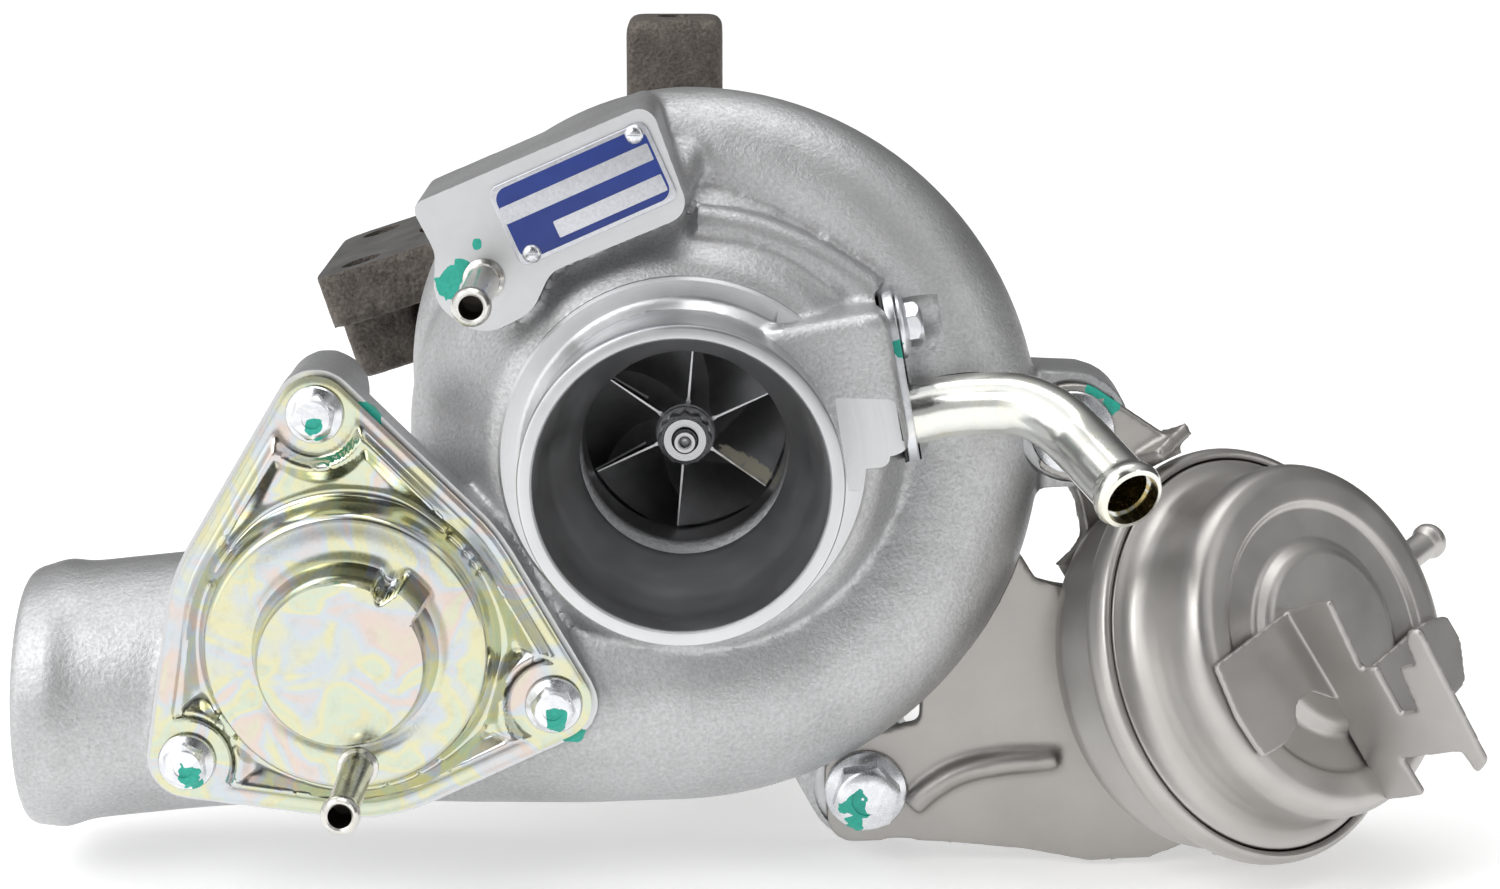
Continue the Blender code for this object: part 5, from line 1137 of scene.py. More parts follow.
# ---- actuator ------------------------------------------------------------------------------------------
def canister_pieces():
    front = [
        (0, -1.6), (17.2, -1.6), (18.4, -1.1), (20.0, 0.7), (20.9, 1.0), (27.2, 1.0), (28.2, 0.1),
        (29.0, 0.0),
        (33.2, 0.0), (35.4, 0.8), (36.6, 2.8), (36.8, 5.0), (36.3, 9.0), (36.2, 12.5), (36.6, 15.6),
        (37.6, 18.0),
        (39.2, 19.3), (41.0, 19.9), (41.2, 20.9), (40.0, 21.2), (38.4, 20.6), (36.4, 18.8), (35.4, 15.8),
        (35.1, 12.5), (35.2, 9.0), (35.6, 5.4), (35.0, 3.4), (33.0, 1.4), (28.6, 1.4), (27.6, 2.3),
        (20.4, 2.3),
        (17.8, 0.0), (0, 0.0),
    ]
    rear = [
        (41.5, 20.9), (41.5, 20.1), (42.4, 19.5), (43.4, 20.0), (43.9, 21.4), (43.9, 24.0), (43.3, 25.6),
        (41.8, 26.5), (40.3, 27.2), (39.6, 28.6), (39.3, 32.0), (39.0, 38.0), (38.2, 40.8), (36.2, 42.3),
        (33.0, 42.5), (4.4, 42.5), (4.4, 41.2), (33.4, 41.2), (36.0, 40.2), (37.6, 37.4), (38.0, 31.0),
        (38.4, 27.0), (40.0, 25.4), (41.5, 24.6),
    ]
    shell = turned("front_can", rounded(front, 1.0, 4), act_frame(), 192)
    outward = (LEVER_AXIS + GATE_AXIS * 0.12).normalized()
    side = ACT_FRONT - ACT_AXIS * 9.0 + outward * (ACT_FRONT_RADIUS - 2.0)
    cut(shell, disc("nipple_clearance", 3.3, -4, 4, frame_at(side, outward, ACT_AXIS), SMALL_STEPS))
    piece(shell, "canister_front", "housing", "actuator_steel", [CAN_STEEL], "actuator_front_shell",
          sharp=50)
    piece(turned("rear_can", rounded(rear, 0.8, 4, closed=True), act_frame(), 192), "canister_rear",
          "housing",
          "actuator_steel", [CAN_STEEL], "actuator_rear_shell", sharp=50)
    place = frame_at(side + outward * 2.4, outward, ACT_AXIS)
    profile = [
        (2.3, -14.8), (2.8, -15.0), (3.4, -14.6), (3.9, -13.6), (3.9, -12.4), (3.4, -11.4), (3.1, -10.6),
        (3.1, -2.6), (3.8, -1.6), (4.2, -0.9), (4.2, 0.0), (3.0, 0.0), (3.0, 3.0), (2.3, 3.0),
    ]
    stub = turned("actuator_hose_stub", rounded(profile, 0.3, 3, closed=True), place, SMALL_STEPS)
    piece(stub, "canister_nipple", "housing", "zinc_plate", [CAN_STEEL], "actuator_nipple")


def clip_frame(height):
    """X runs towards the lever, Y up the canister's face, Z out of it."""
    return frame_at(ACT_FRONT + ACT_AXIS * height, ACT_AXIS, LEVER_AXIS)


def clip_bracket_piece():
    """Folded clip on the canister's face: a wide foot, an upright with two windows, a second foot."""
    wall = -8.0
    foot = [
        (-32.6, 14.1, 1), (-7.6, 11.0, 0), (-7.6, -10.4, 0), (-9.6, -9.4, 2), (-14.0, -4.6, 3),
        (-19.6, -4.0, 3),
        (-22.6, -7.8, 2), (-28.0, -8.2, 1), (-34.3, -6.9, 1), (-34.9, 2.4, 8),
    ]
    upright = [
        (0.4, 11.3, 0), (13.8, 11.2, 0.6), (11.8, -4.6, 0.5), (15.6, -5.2, 0.5), (15.1, -16.0, 0.4),
        (19.4, -16.2, 0.4), (20.8, -6.3, 0.5), (25.3, -6.0, 0.5), (26.2, -0.7, 2), (28.3, 1.4, 2),
        (30.9, 0.6, 1.4),
        (29.7, -15.9, 4), (28.6, -30.3, 2), (24.6, -32.8, 1.6), (24.2, -27.0, 0.5), (8.8, -26.0, 0.5),
        (8.9, -35.0, 0.7), (-1.0, -34.8, 0.6), (-0.2, -11.2, 0),
    ]
    far_foot = [(-8.0, -9.4, 0), (24.5, -12.8, 3), (31.7, -15.5, 3), (31.0, -22.0, 3), (26.0, -29.0, 3),
                (-8.0, -30.0, 0)]
    sheet = plate("foot", rounded_outline(foot, 6), 1.6, clip_frame(2.1))
    join(sheet,
         plate("upright", rounded_outline(upright, 6), 1.6,
               frame_at(ACT_FRONT + LEVER_AXIS * (wall - 0.8), -LEVER_AXIS, ACT_AXIS)),
         plate("far_foot", rounded_outline(far_foot, 6), 1.6, clip_frame(2.1)))
    as_cast(sheet, 0.42, 3)
    piece(sheet, "clip_bracket", "housing", "actuator_steel", [CLIP_STEEL], "actuator_clip_bracket",
          sharp=70)


def bracket_piece():
    front = [
        (48.9, -62.0, 1), (49.0, -36.5, 1), (58.2, -34.3, 5), (63.5, -30.6, 4), (69.3, -25.5, 0.5),
        (73.0, -31.2, 1.5), (82.0, -34.0, 1), (114.0, -86.0, 3), (98.2, -92.3, 3), (85.5, -93.4, 8),
        (72.0, -90.8, 8), (45.1, -88.2, 6), (30.0, -89.5, 9), (28.5, -68.0, 9),
    ]
    rear = [
        (17.5, 36.4, 0), (6.1, 36.3, 2), (2.3, 37.7, 2), (-1.0, 44.0, 1), (-1.0, 49.0, 0), (-20.0, 49.0, 1),
        (-22.0, 38.0, 8), (-32.0, 24.0, 12), (-34.0, -10.0, 14), (-18.0, -34.0, 14), (4.0, -40.0, 8),
        (17.5, -36.0, 0),
    ]
    behind = ACT_DEPTH + 0.3
    outline = rounded_outline(front)
    sheet = plate("front_panel", outline, BRACKET_THICKNESS, on_shaft(BRACKET_Y))
    cut(sheet, disc("canister_side", 70, -20, behind + 0.5, act_frame()))
    ear = hull_outline([(*ACT_BOLTS[0], EAR_RADIUS), (98.5, -5.5, 4.5), (91.0, -10.0, 4.0)])
    back_place = frame_at(ACT_FRONT - ACT_AXIS * behind, ACT_AXIS, -LEVER_AXIS)
    arm = ACT_FRONT - ACT_AXIS * (behind + BRACKET_THICKNESS - 0.6) + LEVER_AXIS * 7 - GATE_AXIS * 47.4
    bead = [(47.5, 51.6, -80.5), (51.5, 51.4, -76.8), (57.5, 51.4, -73.2), (66.0, 51.6, -71.2),
            (78.0, 52.6, -70.4)]
    join(sheet,
         plate("back_panel", [(towards, -up) for towards, up in rounded_outline(rear)], BRACKET_THICKNESS,
               back_place),
         block("arm", (11.6, BRACKET_THICKNESS, 29), frame_at(arm + ACT_AXIS * 14.5, ACT_AXIS, LEVER_AXIS)),
         plate("ear", ear, BRACKET_THICKNESS, on_shaft(BRACKET_Y)),
         sweep("pressed_bead", bead, 2.5, 8, 24))
    as_cast(sheet, 0.75, 6)
    trim = block("edge_trim", (110, 34, 12), frame_at((73.0, BRACKET_Y, -84.0), (0, 1, 0), (0, 0, 1)))
    sheared = [(75 + (x - 75) * 0.986, -55 + (z + 55) * 0.986) for x, z in outline]
    cut(trim, plate("sheared_outline", sheared, 20.0, on_shaft(BRACKET_Y - 10)))
    cut(sheet, trim, loft("scroll_room", scroll_sections(-0.4, 48, 60)),
        disc("canister_keep", 45.0, -20, behind - 0.1, act_frame()),
        disc("rod_opening", 8.0, -2, 8, act_frame(behind)))
    for x, z in ACT_BOLTS:
        cut(sheet, disc("bracket_hole", 4.3, -6, 6, on_shaft(BRACKET_Y, x, z), SMALL_STEPS))
    marks = (((85.0, 52.0, 8.6), 2.3), ((87.4, 52.0, 5.6), 2.2))
    steel = satin_steel("bracket_blasted", (0.43, 0.415, 0.395), 0.42, marks)
    piece(sheet, "actuator_stay", "housing", "bracket_steel", [steel], "actuator_bracket", sharp=60)


def rod_pieces():
    mid = ACT_CRIMP + 0.3
    start = ACT_FRONT - ACT_AXIS * (mid - 6.8 + 0.3)
    rear = ACT_FRONT - ACT_AXIS * ACT_DEPTH
    eye_centre = PIN + LEVER_AXIS * ROD_EYE_DROP + GATE_AXIS * (2.0 + 0.3 + 2.0)
    join_point = eye_centre - ROD_AXIS * 38
    exit_point = rear + ROD_AXIS * 12
    route = [start, rear + ROD_AXIS * 4, exit_point, (exit_point + join_point) / 2, join_point]
    route += [eye_centre - ROD_AXIS * before for before in (30, 22, 14)]
    piece(sweep("rod", route, ROD_RADIUS, 10, 40), "actuator_rod_bar", "pushrod", "zinc_plate", [ZINC],
          "actuator_rod")
    along = frame_at(eye_centre, -ROD_AXIS, GATE_AXIS)
    flat = frame_at(eye_centre + GATE_AXIS * 2.0, GATE_AXIS, ROD_AXIS)
    eye = plate("eye", hull_outline([(0, 0, 7.5), (-11.3, 0, 3.7)]), 4.0, flat, edge=0.4)
    join(eye, disc("barrel", 5.0, -22.0, -9.5, along, SMALL_STEPS, edge=0.7))
    cut(eye, disc("socket", ROD_RADIUS + 0.25, -24, -13.0, along, SMALL_STEPS),
        disc("eye_hole", PIN_RADIUS + 0.9, -2, 6.0, flat, SMALL_STEPS))
    piece(eye, "rod_eye", "pushrod", "zinc_plate", [ZINC], "rod_end")
    nut_place = frame_at(eye_centre - ROD_AXIS * 22.3, -ROD_AXIS, GATE_AXIS)
    nut = hex_nut("lock_nut", nut_place, 10.0, 5.0, ROD_RADIUS + 0.25)
    piece(nut, "rod_nut", "pushrod", "zinc_plate", [ZINC], "rod_lock_nut", sharp=28)


def hex_nut(name, place, across, height, bore):
    """Hexagon nut standing up Z from the frame's origin, with chamfered corners."""
    radius = across / 2 / math.cos(math.pi / 6)
    corners = [(radius * math.cos(math.pi / 3 * k), radius * math.sin(math.pi / 3 * k)) for k in range(6)]
    nut = plate(name, corners, height, place @ Matrix.Translation((0, 0, height * MM)), edge=0.15)
    cone = [(0, -height - 0.01), (across * 0.5, -height - 0.01), (across * 0.60, -height + 0.8),
            (across * 0.60, -0.8),
            (across * 0.5, 0.01), (0, 0.01)]
    combine(nut, [turned("nut_chamfer", cone, place, SMALL_STEPS)], "INTERSECT")
    cut(nut, disc("nut_bore", bore, -height - 5, 5, place, SMALL_STEPS),
        turned("nut_lead", [(0, -height - 0.5), (bore + 1.0, -height - 0.5), (bore - 0.2, -height + 0.8),
                            (0, -height + 0.8)],
               place, SMALL_STEPS))
    return nut


def actuator_pieces():
    canister_pieces()
    clip_bracket_piece()
    bracket_piece()
    rod_pieces()
    marks = (((35.6, 43.6, -78.4), 3.0), ((35.0, 45.5, -82.2), 2.6), ((34.8, 49.0, -85.2), 2.0))
    marked = plated_metal("actuator_bolt_zinc", BRIGHT_ZINC, 0.24, 7.0, 0.03, 0.4, marks)
    for name, (x, z) in zip(("upper", "lower"), ACT_BOLTS):
        place = on_shaft(BRACKET_Y - 0.3, x, z) @ Matrix.Rotation(math.radians(12), 4, "Z")
        hex_bolt(f"stay_bolt_{name}", place, 12.6, 8.7, 4.0, 15.0, "housing", "zinc_plate", marked,
                 f"actuator_bolt_{name}")


# ---- compressor wheel and shaft --------------------------------------------------------------------------
def blade_mesh(name, count, surface, start_angle, along=18, across=9):
    """All blades of one set; surface(s, t) gives radius, depth, angle and half thickness."""
    bm = bmesh.new()
    for k in range(count):
        add_blade(bm, surface, start_angle + 2 * math.pi * k / count, along, across)
    return from_bmesh(bm, name, Matrix())


def add_blade(bm, surface, offset, along, across):
    sides = []
    for sign in (-1, 1):
        grid = []
        for i in range(along + 1):
            row = []
            for j in range(across + 1):
                radius, depth, angle, half = surface(i / along, j / across)
                angle += offset + sign * half / max(radius, 1)
                row.append(bm.verts.new(Vector((radius * math.cos(angle), depth,
                                                radius * math.sin(angle))) * MM))
            grid.append(row)
        sides.append(grid)
    lower, upper = sides
    for grid in sides:
        for i in range(along):
            for j in range(across):
                bm.faces.new((grid[i][j], grid[i + 1][j], grid[i + 1][j + 1], grid[i][j + 1]))
    border = [(i, 0) for i in range(along)] + [(along, j) for j in range(across)]
    border += [(i, across) for i in range(along, 0, -1)] + [(0, j) for j in range(across, 0, -1)]
    for (i, j), (k, m) in zip(border, border[1:] + border[:1]):
        bm.faces.new((lower[i][j], lower[k][m], upper[k][m], upper[i][j]))


def hub_point(s):
    angle = s * math.pi / 2
    radius = 6.2 + (WHEEL_TIP_RADIUS - 6.2) * (1 - math.cos(angle))
    return radius, 53.0 + (WHEEL_BACK_Y - 1.2 - 53.0) * math.sin(angle)


def compressor_blade(front_share):
    """Blade surface from its leading edge (s=0) to the wheel's rim, hub (t=0) to shroud (t=1)."""
    def surface(s, t):
        lead = s
        s = front_share + (1 - front_share) * s
        bend = math.sin(s * math.pi / 2)
        sweep_in = 1 - math.cos(s * math.pi / 2)
        hub_radius, hub_depth = hub_point(s)
        hub_radius -= 0.7
        hub_depth += 0.6
        tip_radius = INDUCER_RADIUS + (WHEEL_TIP_RADIUS - INDUCER_RADIUS) * sweep_in
        tip_depth = 53.2 + (WHEEL_BACK_Y - 4.4 - 53.2) * bend
        angle = math.radians(-58) * (1 - s) ** 1.7 + math.radians(22) * s ** 2
        root = 0.5 * max(0.0, 1 - t * 9) ** 2
        half = (0.55 - 0.27 * t) * (0.45 + 0.55 * min(lead * 9, 1.0)) + root
        return hub_radius + (tip_radius - hub_radius) * t, hub_depth + (tip_depth - hub_depth) * t, angle, half
    return surface


def turbine_blade(s, t):
    bend = math.sin(s * math.pi / 2)
    sweep_out = 1 - math.cos(s * math.pi / 2)
    hub_radius = TURBINE_TIP - (TURBINE_TIP - 6.5) * bend
    hub_depth = 122.4 + 24.0 * sweep_out
    tip_radius = TURBINE_TIP - (TURBINE_TIP - EXDUCER_RADIUS + 0.6) * bend
    tip_depth = 129.0 + 19.5 * sweep_out
    angle = math.radians(42) * s ** 2 * (0.5 + 0.5 * t)
    return hub_radius + (tip_radius - hub_radius) * t, hub_depth + (tip_depth - hub_depth) * t, angle, 0.75 - 0.3 * t


def cream_mark(g, colour):
    """A dab of cream marking paint along one blade."""
    start, end = Vector((8.5, 55.0, -5.0)), Vector((18.5, 54.0, -10.5))
    near = None
    for k in range(5):
        gap = g.distance_to(start.lerp(end, k / 4))
        near = gap if near is None else g.maths("MINIMUM", near, gap)
    wobble = g.spread(g.noise(1.2, 3.0), -0.8, 0.8)
    mask = g.maths("LESS_THAN", g.maths("ADD", near, wobble), 1.9)
    return g.mix(mask, colour, (0.62, 0.58, 0.46)), g.maths("MULTIPLY", g.maths("SUBTRACT", 1.0, mask),
                                                            0.95)


def wheel_metal():
    g = Graph("wheel_machined_alloy")
    shade = g.ramp(g.noise(7.0, 3.0), (0.3, (0.52, 0.52, 0.53)), (0.7, (0.66, 0.66, 0.67)))
    lines = g.noise(0.35, 3.0, 0.6)
    colour, metal = cream_mark(g, shade)
    return g.set(colour=colour, roughness=g.spread(lines, 0.30, 0.42), metallic=metal,
                 normal=g.bump(lines, 0.02))


def star_outline(across):
    """Twelve-point nut: two hexagons turned half a flat from each other."""
    half = across / 2
    outline = []
    for k in range(24):
        radius = half / math.cos(math.radians(30 if k % 2 == 0 else 15))
        outline.append((radius * math.cos(math.radians(15 * k)), radius * math.sin(math.radians(15 * k))))
    return outline


def rotor_pieces():
    nose = 50.5
    hub = [(2.8, nose + 0.2), (5.6, nose), (6.15, nose + 0.5), (6.15, 52.4)]
    hub += [hub_point(i / 24) for i in range(25)]
    hub += [(WHEEL_TIP_RADIUS, WHEEL_BACK_Y - 0.2), (WHEEL_TIP_RADIUS - 0.3, WHEEL_BACK_Y),
            (2.8, WHEEL_BACK_Y)]
    wheel = turned("wheel_hub", hub, on_shaft(), 144)
    join(wheel, blade_mesh("full_blades", 6, compressor_blade(0.0), math.radians(83)),
         blade_mesh("splitter_blades", 6, compressor_blade(0.34), math.radians(113)))
    piece(wheel, "impeller", "rotor", "wheel_alloy", [wheel_metal()], "compressor_wheel", sharp=30)
    place = on_shaft(nose - 0.3)
    nut = plate("star_nut", star_outline(9.6), 6.2, place @ Matrix.Translation((0, 0, 6.2 * MM)), edge=0.12)
    cone = [(0, -6.21), (4.3, -6.21), (5.7, -5.0), (5.7, -0.8), (6.0, 0.01), (0, 0.01)]
    combine(nut, [turned("star_nut_chamfer", cone, place, SMALL_STEPS)], "INTERSECT")
    join(nut, turned("star_nut_collar", [(0, -1.4), (5.2, -1.4), (5.9, -0.9), (6.0, -0.02), (0, -0.02)],
                     place, SMALL_STEPS))
    cut(nut, disc("star_nut_bore", 2.8, -9, 3, place, SMALL_STEPS))
    piece(nut, "impeller_nut", "rotor", "zinc_plate", [STEEL_BRIGHT], "shaft_nut", sharp=28)
    shaft = [
        (0, 44.5), (1.1, 43.6), (1.1, 41.7), (1.4, 41.5), (2.1, 41.5), (2.5, 42.1), (2.5, 83.3),
        (4.0, 83.3),
        (4.0, 112.6), (7.8, 113.4), (7.8, 116.8), (6.4, 117.0), (6.4, 120.2), (19.0, 120.4),
        (TURBINE_TIP, 121.4),
        (TURBINE_TIP, 122.6), (20.0, 122.9), (16.0, 124.0), (13.0, 126.4), (11.0, 130.0), (9.4, 134.0),
        (8.4, 138.0), (7.8, 142.5), (7.4, 147.0), (6.8, 149.5), (5.4, 151.6), (4.0, 152.4), (0, 152.4),
    ]
    shaft_piece = turned("shaft", shaft, on_shaft(), 96)
    join(shaft_piece, blade_mesh("turbine_blades", 11, turbine_blade, 0.0, 14, 7))
    piece(shaft_piece, "shaft_and_turbine", "rotor", "shaft_steel", [STEEL_BRIGHT, HOT_STEEL],
          "turbine_wheel_shaft",
          paint=lambda centre, normal: 1 if centre.y > 116 else 0, sharp=30)


# ---- centre housing and turbine housing ------------------------------------------------------------------
def bearing_pieces():
    rear = 77.2
    profile = [
        (0, rear), (38.0, rear), (38.0, 84.0), (27.0, 86.0), (25.0, 97.0), (27.0, 106.0), (33.0, 109.0),
        (33.0, 113.4), (36.0, 114.6), (36.0, 117.0), (0, 117.0),
    ]
    bore = [
        (0, rear - 2), (21.1, rear - 2), (21.1, 83.1), (7.2, 83.1), (7.2, 113.1), (8.2, 113.1),
        (8.2, 119.0),
        (0, 119.0),
    ]
    mid = Vector((0, 96.0, 0))
    water = Vector((0, 96.6, 1.3))
    core = turned("core_skin", rounded(profile, 2.0, 3), on_shaft(), 96)
    join(core,
         disc("oil_feed_boss", 10.0, -37.0, -12.0, frame_at(mid, (0, 0, 1))),
         disc("oil_drain_neck", 13.0, -36.0, -12.0, frame_at(mid, (0, 0, -1))),
         plate("oil_drain_flange", hull_outline([(0, 0, 15), (-22, 0, 7.5), (22, 0, 7.5)]), 9.0,
               frame_at(mid - Vector((0, 0, 43)), (0, 0, -1))),
         disc("water_boss_right", 10.5, -36.0, -14.0, frame_at(water, (1, 0, 0))),
         disc("water_boss_left", 10.5, -36.0, -14.0, frame_at(water, (-1, 0, 0))))
    as_cast(core, 1.1, 4)
    faces = [
        (mid + Vector((0, 0, 36)), Vector((0, 0, 1))), (mid - Vector((0, 0, 42)), Vector((0, 0, -1))),
        (water + Vector((35, 0, 0)), Vector((1, 0, 0))), (water - Vector((35, 0, 0)), Vector((-1, 0, 0))),
    ]
    for point, normal in faces:
        cut(core, disc("boss_facing", 40.0, -12.0, 0.0, frame_at(point, normal)))
    cut(core,
        turned("bearing_bore", bore, on_shaft()),
        disc("front_facing", 60.0, -4, 0, on_shaft(rear)),
        disc("oil_feed_tapping", 5.0, -40, -22, frame_at(mid, (0, 0, 1)), SMALL_STEPS),
        disc("oil_feed_drilling", 2.0, -24, -4, frame_at(mid, (0, 0, 1)), SMALL_STEPS),
        disc("oil_drain_bore", 9.5, -46, -5, frame_at(mid, (0, 0, -1)), SMALL_STEPS),
        disc("water_tapping_right", 6.2, -38, -20, frame_at(water, (1, 0, 0)), SMALL_STEPS),
        disc("water_tapping_left", 6.2, -38, -20, frame_at(water, (-1, 0, 0)), SMALL_STEPS))
    for side in (-22, 22):
        cut(core, disc("drain_bolt_hole", 3.4, -44, -30, frame_at(mid + Vector((side, 0, 0)), (0, 0, -1)),
                       SMALL_STEPS))

    def machined(centre, normal):
        return 1 if any(normal.dot(n) > 0.995 and abs((centre - p).dot(n)) < 0.1 for p, n in faces) else 0

    iron = rough_iron("core_iron", (0.065, 0.058, 0.052), (0.17, 0.158, 0.145), 0.7, 0.16)
    piece(core, "centre_housing", "housing", "cast_iron", [iron, IRON_FACE], "bearing_housing",
          paint=machined)


def port_normal():
    tilt = math.radians(PORT_TILT)
    return Vector((-math.sin(tilt), 0, math.cos(tilt)))


def port_frame(along=0.0, across=0.0, up=0.0):
    normal = port_normal()
    direction = Vector((normal.z, 0, -normal.x))
    return frame_at(PORT + direction * along + Vector((0, 1, 0)) * across + normal * up, normal, direction)


def turbine_ring(angle, part, shrink, sides):
    outer = 15.5 - 6.0 * part
    centre = 39.0 - 3.0 * part
    radial = Vector((math.cos(math.radians(angle)), 0, math.sin(math.radians(angle))))
    return section_ring(radial * centre + Vector((0, TURBINE_Y, 0)), radial, outer - shrink, sides)


def turbine_sections(shrink, sides, steps):
    """Rings from the manifold port down the inlet duct and round the wheel."""
    normal = port_normal()
    along = Vector((normal.z, 0, -normal.x))
    entry = 196.0
    first = turbine_ring(entry, 0.0, shrink, sides)
    centre = sum(first, Vector()) / sides
    radius = (first[0] - centre).length
    rings = []
    for k in range(-1 if shrink else 0, 8):
        part = k * 0.11
        left = (1 - max(part, 0.0)) ** 2.2
        middle = PORT + (centre - PORT) * part
        middle.y = centre.y + (PORT.y - centre.y) * left
        size = radius + (PORT_RADIUS + 5.0 - shrink - radius) * left
        rings.append(section_ring(middle, -along, size, sides))
    for i in range(steps + 1):
        rings.append(turbine_ring(entry + TURBINE_SWEEP * i / steps, i / steps, shrink, sides))
    return rings


def flap_place():
    return GATE_AXIS * FLAP_REACH - Vector((-GATE_AXIS.z, 0, GATE_AXIS.x)) * FLAP_SIDE


def outlet_outline(grow):
    chamber = GATE_AXIS * 17
    return hull_outline([(0, 0, 30 + grow), (chamber.x, chamber.z, 33 + grow)])


FLANGE_BOLTS = [(-29, -22), (-29, 22), (29, -22), (29, 22)]
STUD_PLACES = [(-31.0, 20.0), (38.5, 10.0), (-18.0, -46.0), (39.0, -41.0)]


def turbine_housing_piece():
    body = [
        (0, 117.4), (40.0, 117.4), (40.0, 124.0), (38.0, 125.0), (38.0, 150.0), (30.0, 152.0), (0, 152.0),
    ]
    flange_shape = rounded_outline([(-39, -31, 6), (39, -31, 6), (39, 31, 6), (-39, 31, 6)])
    skin = turned("turbine_skin", rounded(body, 2.0, 3), on_shaft(), 96)
    join(skin,
         loft("turbine_scroll_skin", turbine_sections(0, 40, 56)),
         plate("manifold_flange", flange_shape, 13.0, port_frame(0, 0, 1.0)),
         plate("outlet_chamber", outlet_outline(0), OUTLET_Y - 148.0, on_shaft(148.0)),
         plate("outlet_flange", outlet_outline(7), 10.0, on_shaft(OUTLET_Y - 9.0)),
         block("stay_boss", (21.4, 19.0, 46.4), frame_at((-3.6, 132.0, 55.6), (0, 0, 1)), bevel=2.4),
         block("flange_lug", (17.0, 26.0, 26.0), port_frame(-31.0, 0, -14.0), bevel=2.0),
         sweep("bush_boss", [GATE + GATE_AXIS * 38, GATE + GATE_AXIS * (LEVER_REACH - 7.0)], 10.5, 0, 48))
    as_cast(skin, 1.15, 4)
    depth = OUTLET_Y - CHAMBER_Y
    clamp_room = [
        (0, 98.0), (41.5, 98.0), (41.5, 122.8), (33.6, 122.8), (33.6, 120.8), (36.0, 119.6), (36.0, 117.4),
        (0, 117.4),
    ]
    bore = [
        (0, 114), (32.0, 114), (32.0, 124.0), (35.0, 124.0), (35.0, 130.5), (24.2, 131.0),
        (EXDUCER_RADIUS + 0.5, 139.0), (EXDUCER_RADIUS + 0.5, 156.0), (0, 156.0),
    ]
    gate_place = flap_place()
    cut(skin,
        disc("outlet_facing", 120.0, -20.0, 0.0, frame_at((0, OUTLET_Y, 0), (0, 1, 0))),
        block("port_facing", (80, 64, 5), port_frame(0, 0, 2.5)),
        turned("clamp_room", clamp_room, on_shaft()),
        block("clamp_bolt_room", (38.0, 13.0, 24.0), frame_at((0, 117.0, -50.0), (0, 0, 1))),
        loft("turbine_passage", turbine_sections(4.5, 32, 40)),
        turned("turbine_bore", bore, on_shaft()),
        plate("chamber_hollow", outlet_outline(-5), depth + 4, on_shaft(CHAMBER_Y)),
        disc("gate_port", 8.0, -16, 3, on_shaft(CHAMBER_Y, gate_place.x, gate_place.z), SMALL_STEPS),
        disc("bush_bore", 7.1, 0, 60, frame_at(GATE + GATE_AXIS * 90, GATE_AXIS), SMALL_STEPS),
        disc("stay_tapping", 3.4, -2, 20, frame_at((-4.0, 132.0, 78.6), (0, 0, 1)), SMALL_STEPS))
    for x, y in FLANGE_BOLTS:
        cut(skin, disc("manifold_bolt_hole", 4.5, -2, 15, port_frame(x, y), SMALL_STEPS))
    for x, z in STUD_PLACES:
        cut(skin, disc("stud_hole", 4.3, -12, 12, on_shaft(OUTLET_Y, x, z), SMALL_STEPS))

    def machined(centre, normal):
        port = port_normal()
        if normal.dot(port) > 0.995 and abs((centre - PORT).dot(port)) < 0.1:
            return 1
        return 1 if normal.y > 0.995 and abs(centre.y - OUTLET_Y) < 0.1 else 0

    iron = rough_iron("turbine_iron", (0.075, 0.064, 0.056), (0.20, 0.177, 0.157), 0.75, 0.26)
    piece(skin, "turbine_casting", "housing", "cast_iron", [iron, IRON_FACE], "turbine_housing",
          paint=machined)


def clamp_pieces():
    band = [
        (39.2, 113.4), (39.2, 121.0), (38.6, 122.0), (37.4, 122.2), (34.2, 122.2), (34.2, 121.4),
        (36.5, 120.4),
        (37.6, 118.6), (37.6, 115.8), (36.5, 114.0), (34.2, 113.0), (34.2, 112.2), (37.4, 112.2),
        (38.6, 112.4),
    ]
    clamp = turned("band", band, on_shaft(), 144)
    low = Vector((0, 117.2, 0))
    for x in (-8.5, 8.5):
        join(clamp, block("clamp_lug", (3.0, 9.0, 15.0), frame_at(low + Vector((x, 0, -45.0)), (0, 0, 1)),
                          bevel=0.8))
    bolt_place = frame_at(low + Vector((-10.3, 0, -47.0)), (-1, 0, 0))
    cut(clamp, block("clamp_split", (6.0, 20.0, 16.0), frame_at(low + Vector((0, 0, -42.0)), (0, 0, 1))),
        disc("clamp_bolt_hole", 3.4, -5, 30, bolt_place, SMALL_STEPS))
    piece(clamp, "v_clamp", "housing", "heat_steel", [HOT_STEEL], "turbine_v_clamp")
    hex_bolt("clamp_screw", bolt_place, 8.0, 5.4, 3.0, 29.0, "housing", "heat_steel", HOT_STEEL,
             "v_clamp_bolt")
    nut = hex_nut("clamp_nut", frame_at(low + Vector((10.3, 0, -47.0)), (1, 0, 0)), 9.0, 5.0, 3.2)
    piece(nut, "clamp_screw_nut", "housing", "heat_steel", [HOT_STEEL], "v_clamp_nut", sharp=28)
    for i, (x, z) in enumerate(STUD_PLACES, 1):
        profile = [(0, -16), (3.2, -16), (3.9, -15.2)]
        for k in range(13):
            top = -15.0 + k * 1.0
            profile += [(3.95, top), (3.45, top + 0.5)]
        profile += [(3.95, -1.8), (3.95, 8.2), (3.4, 8.6), (0, 8.6)]
        place = frame_at((x, OUTLET_Y, z), (0, 1, 0))
        piece(turned("stud", profile, place, SMALL_STEPS), f"flange_stud_{i}", "housing", "heat_steel",
              [HOT_STEEL],
              f"outlet_stud_{i}")


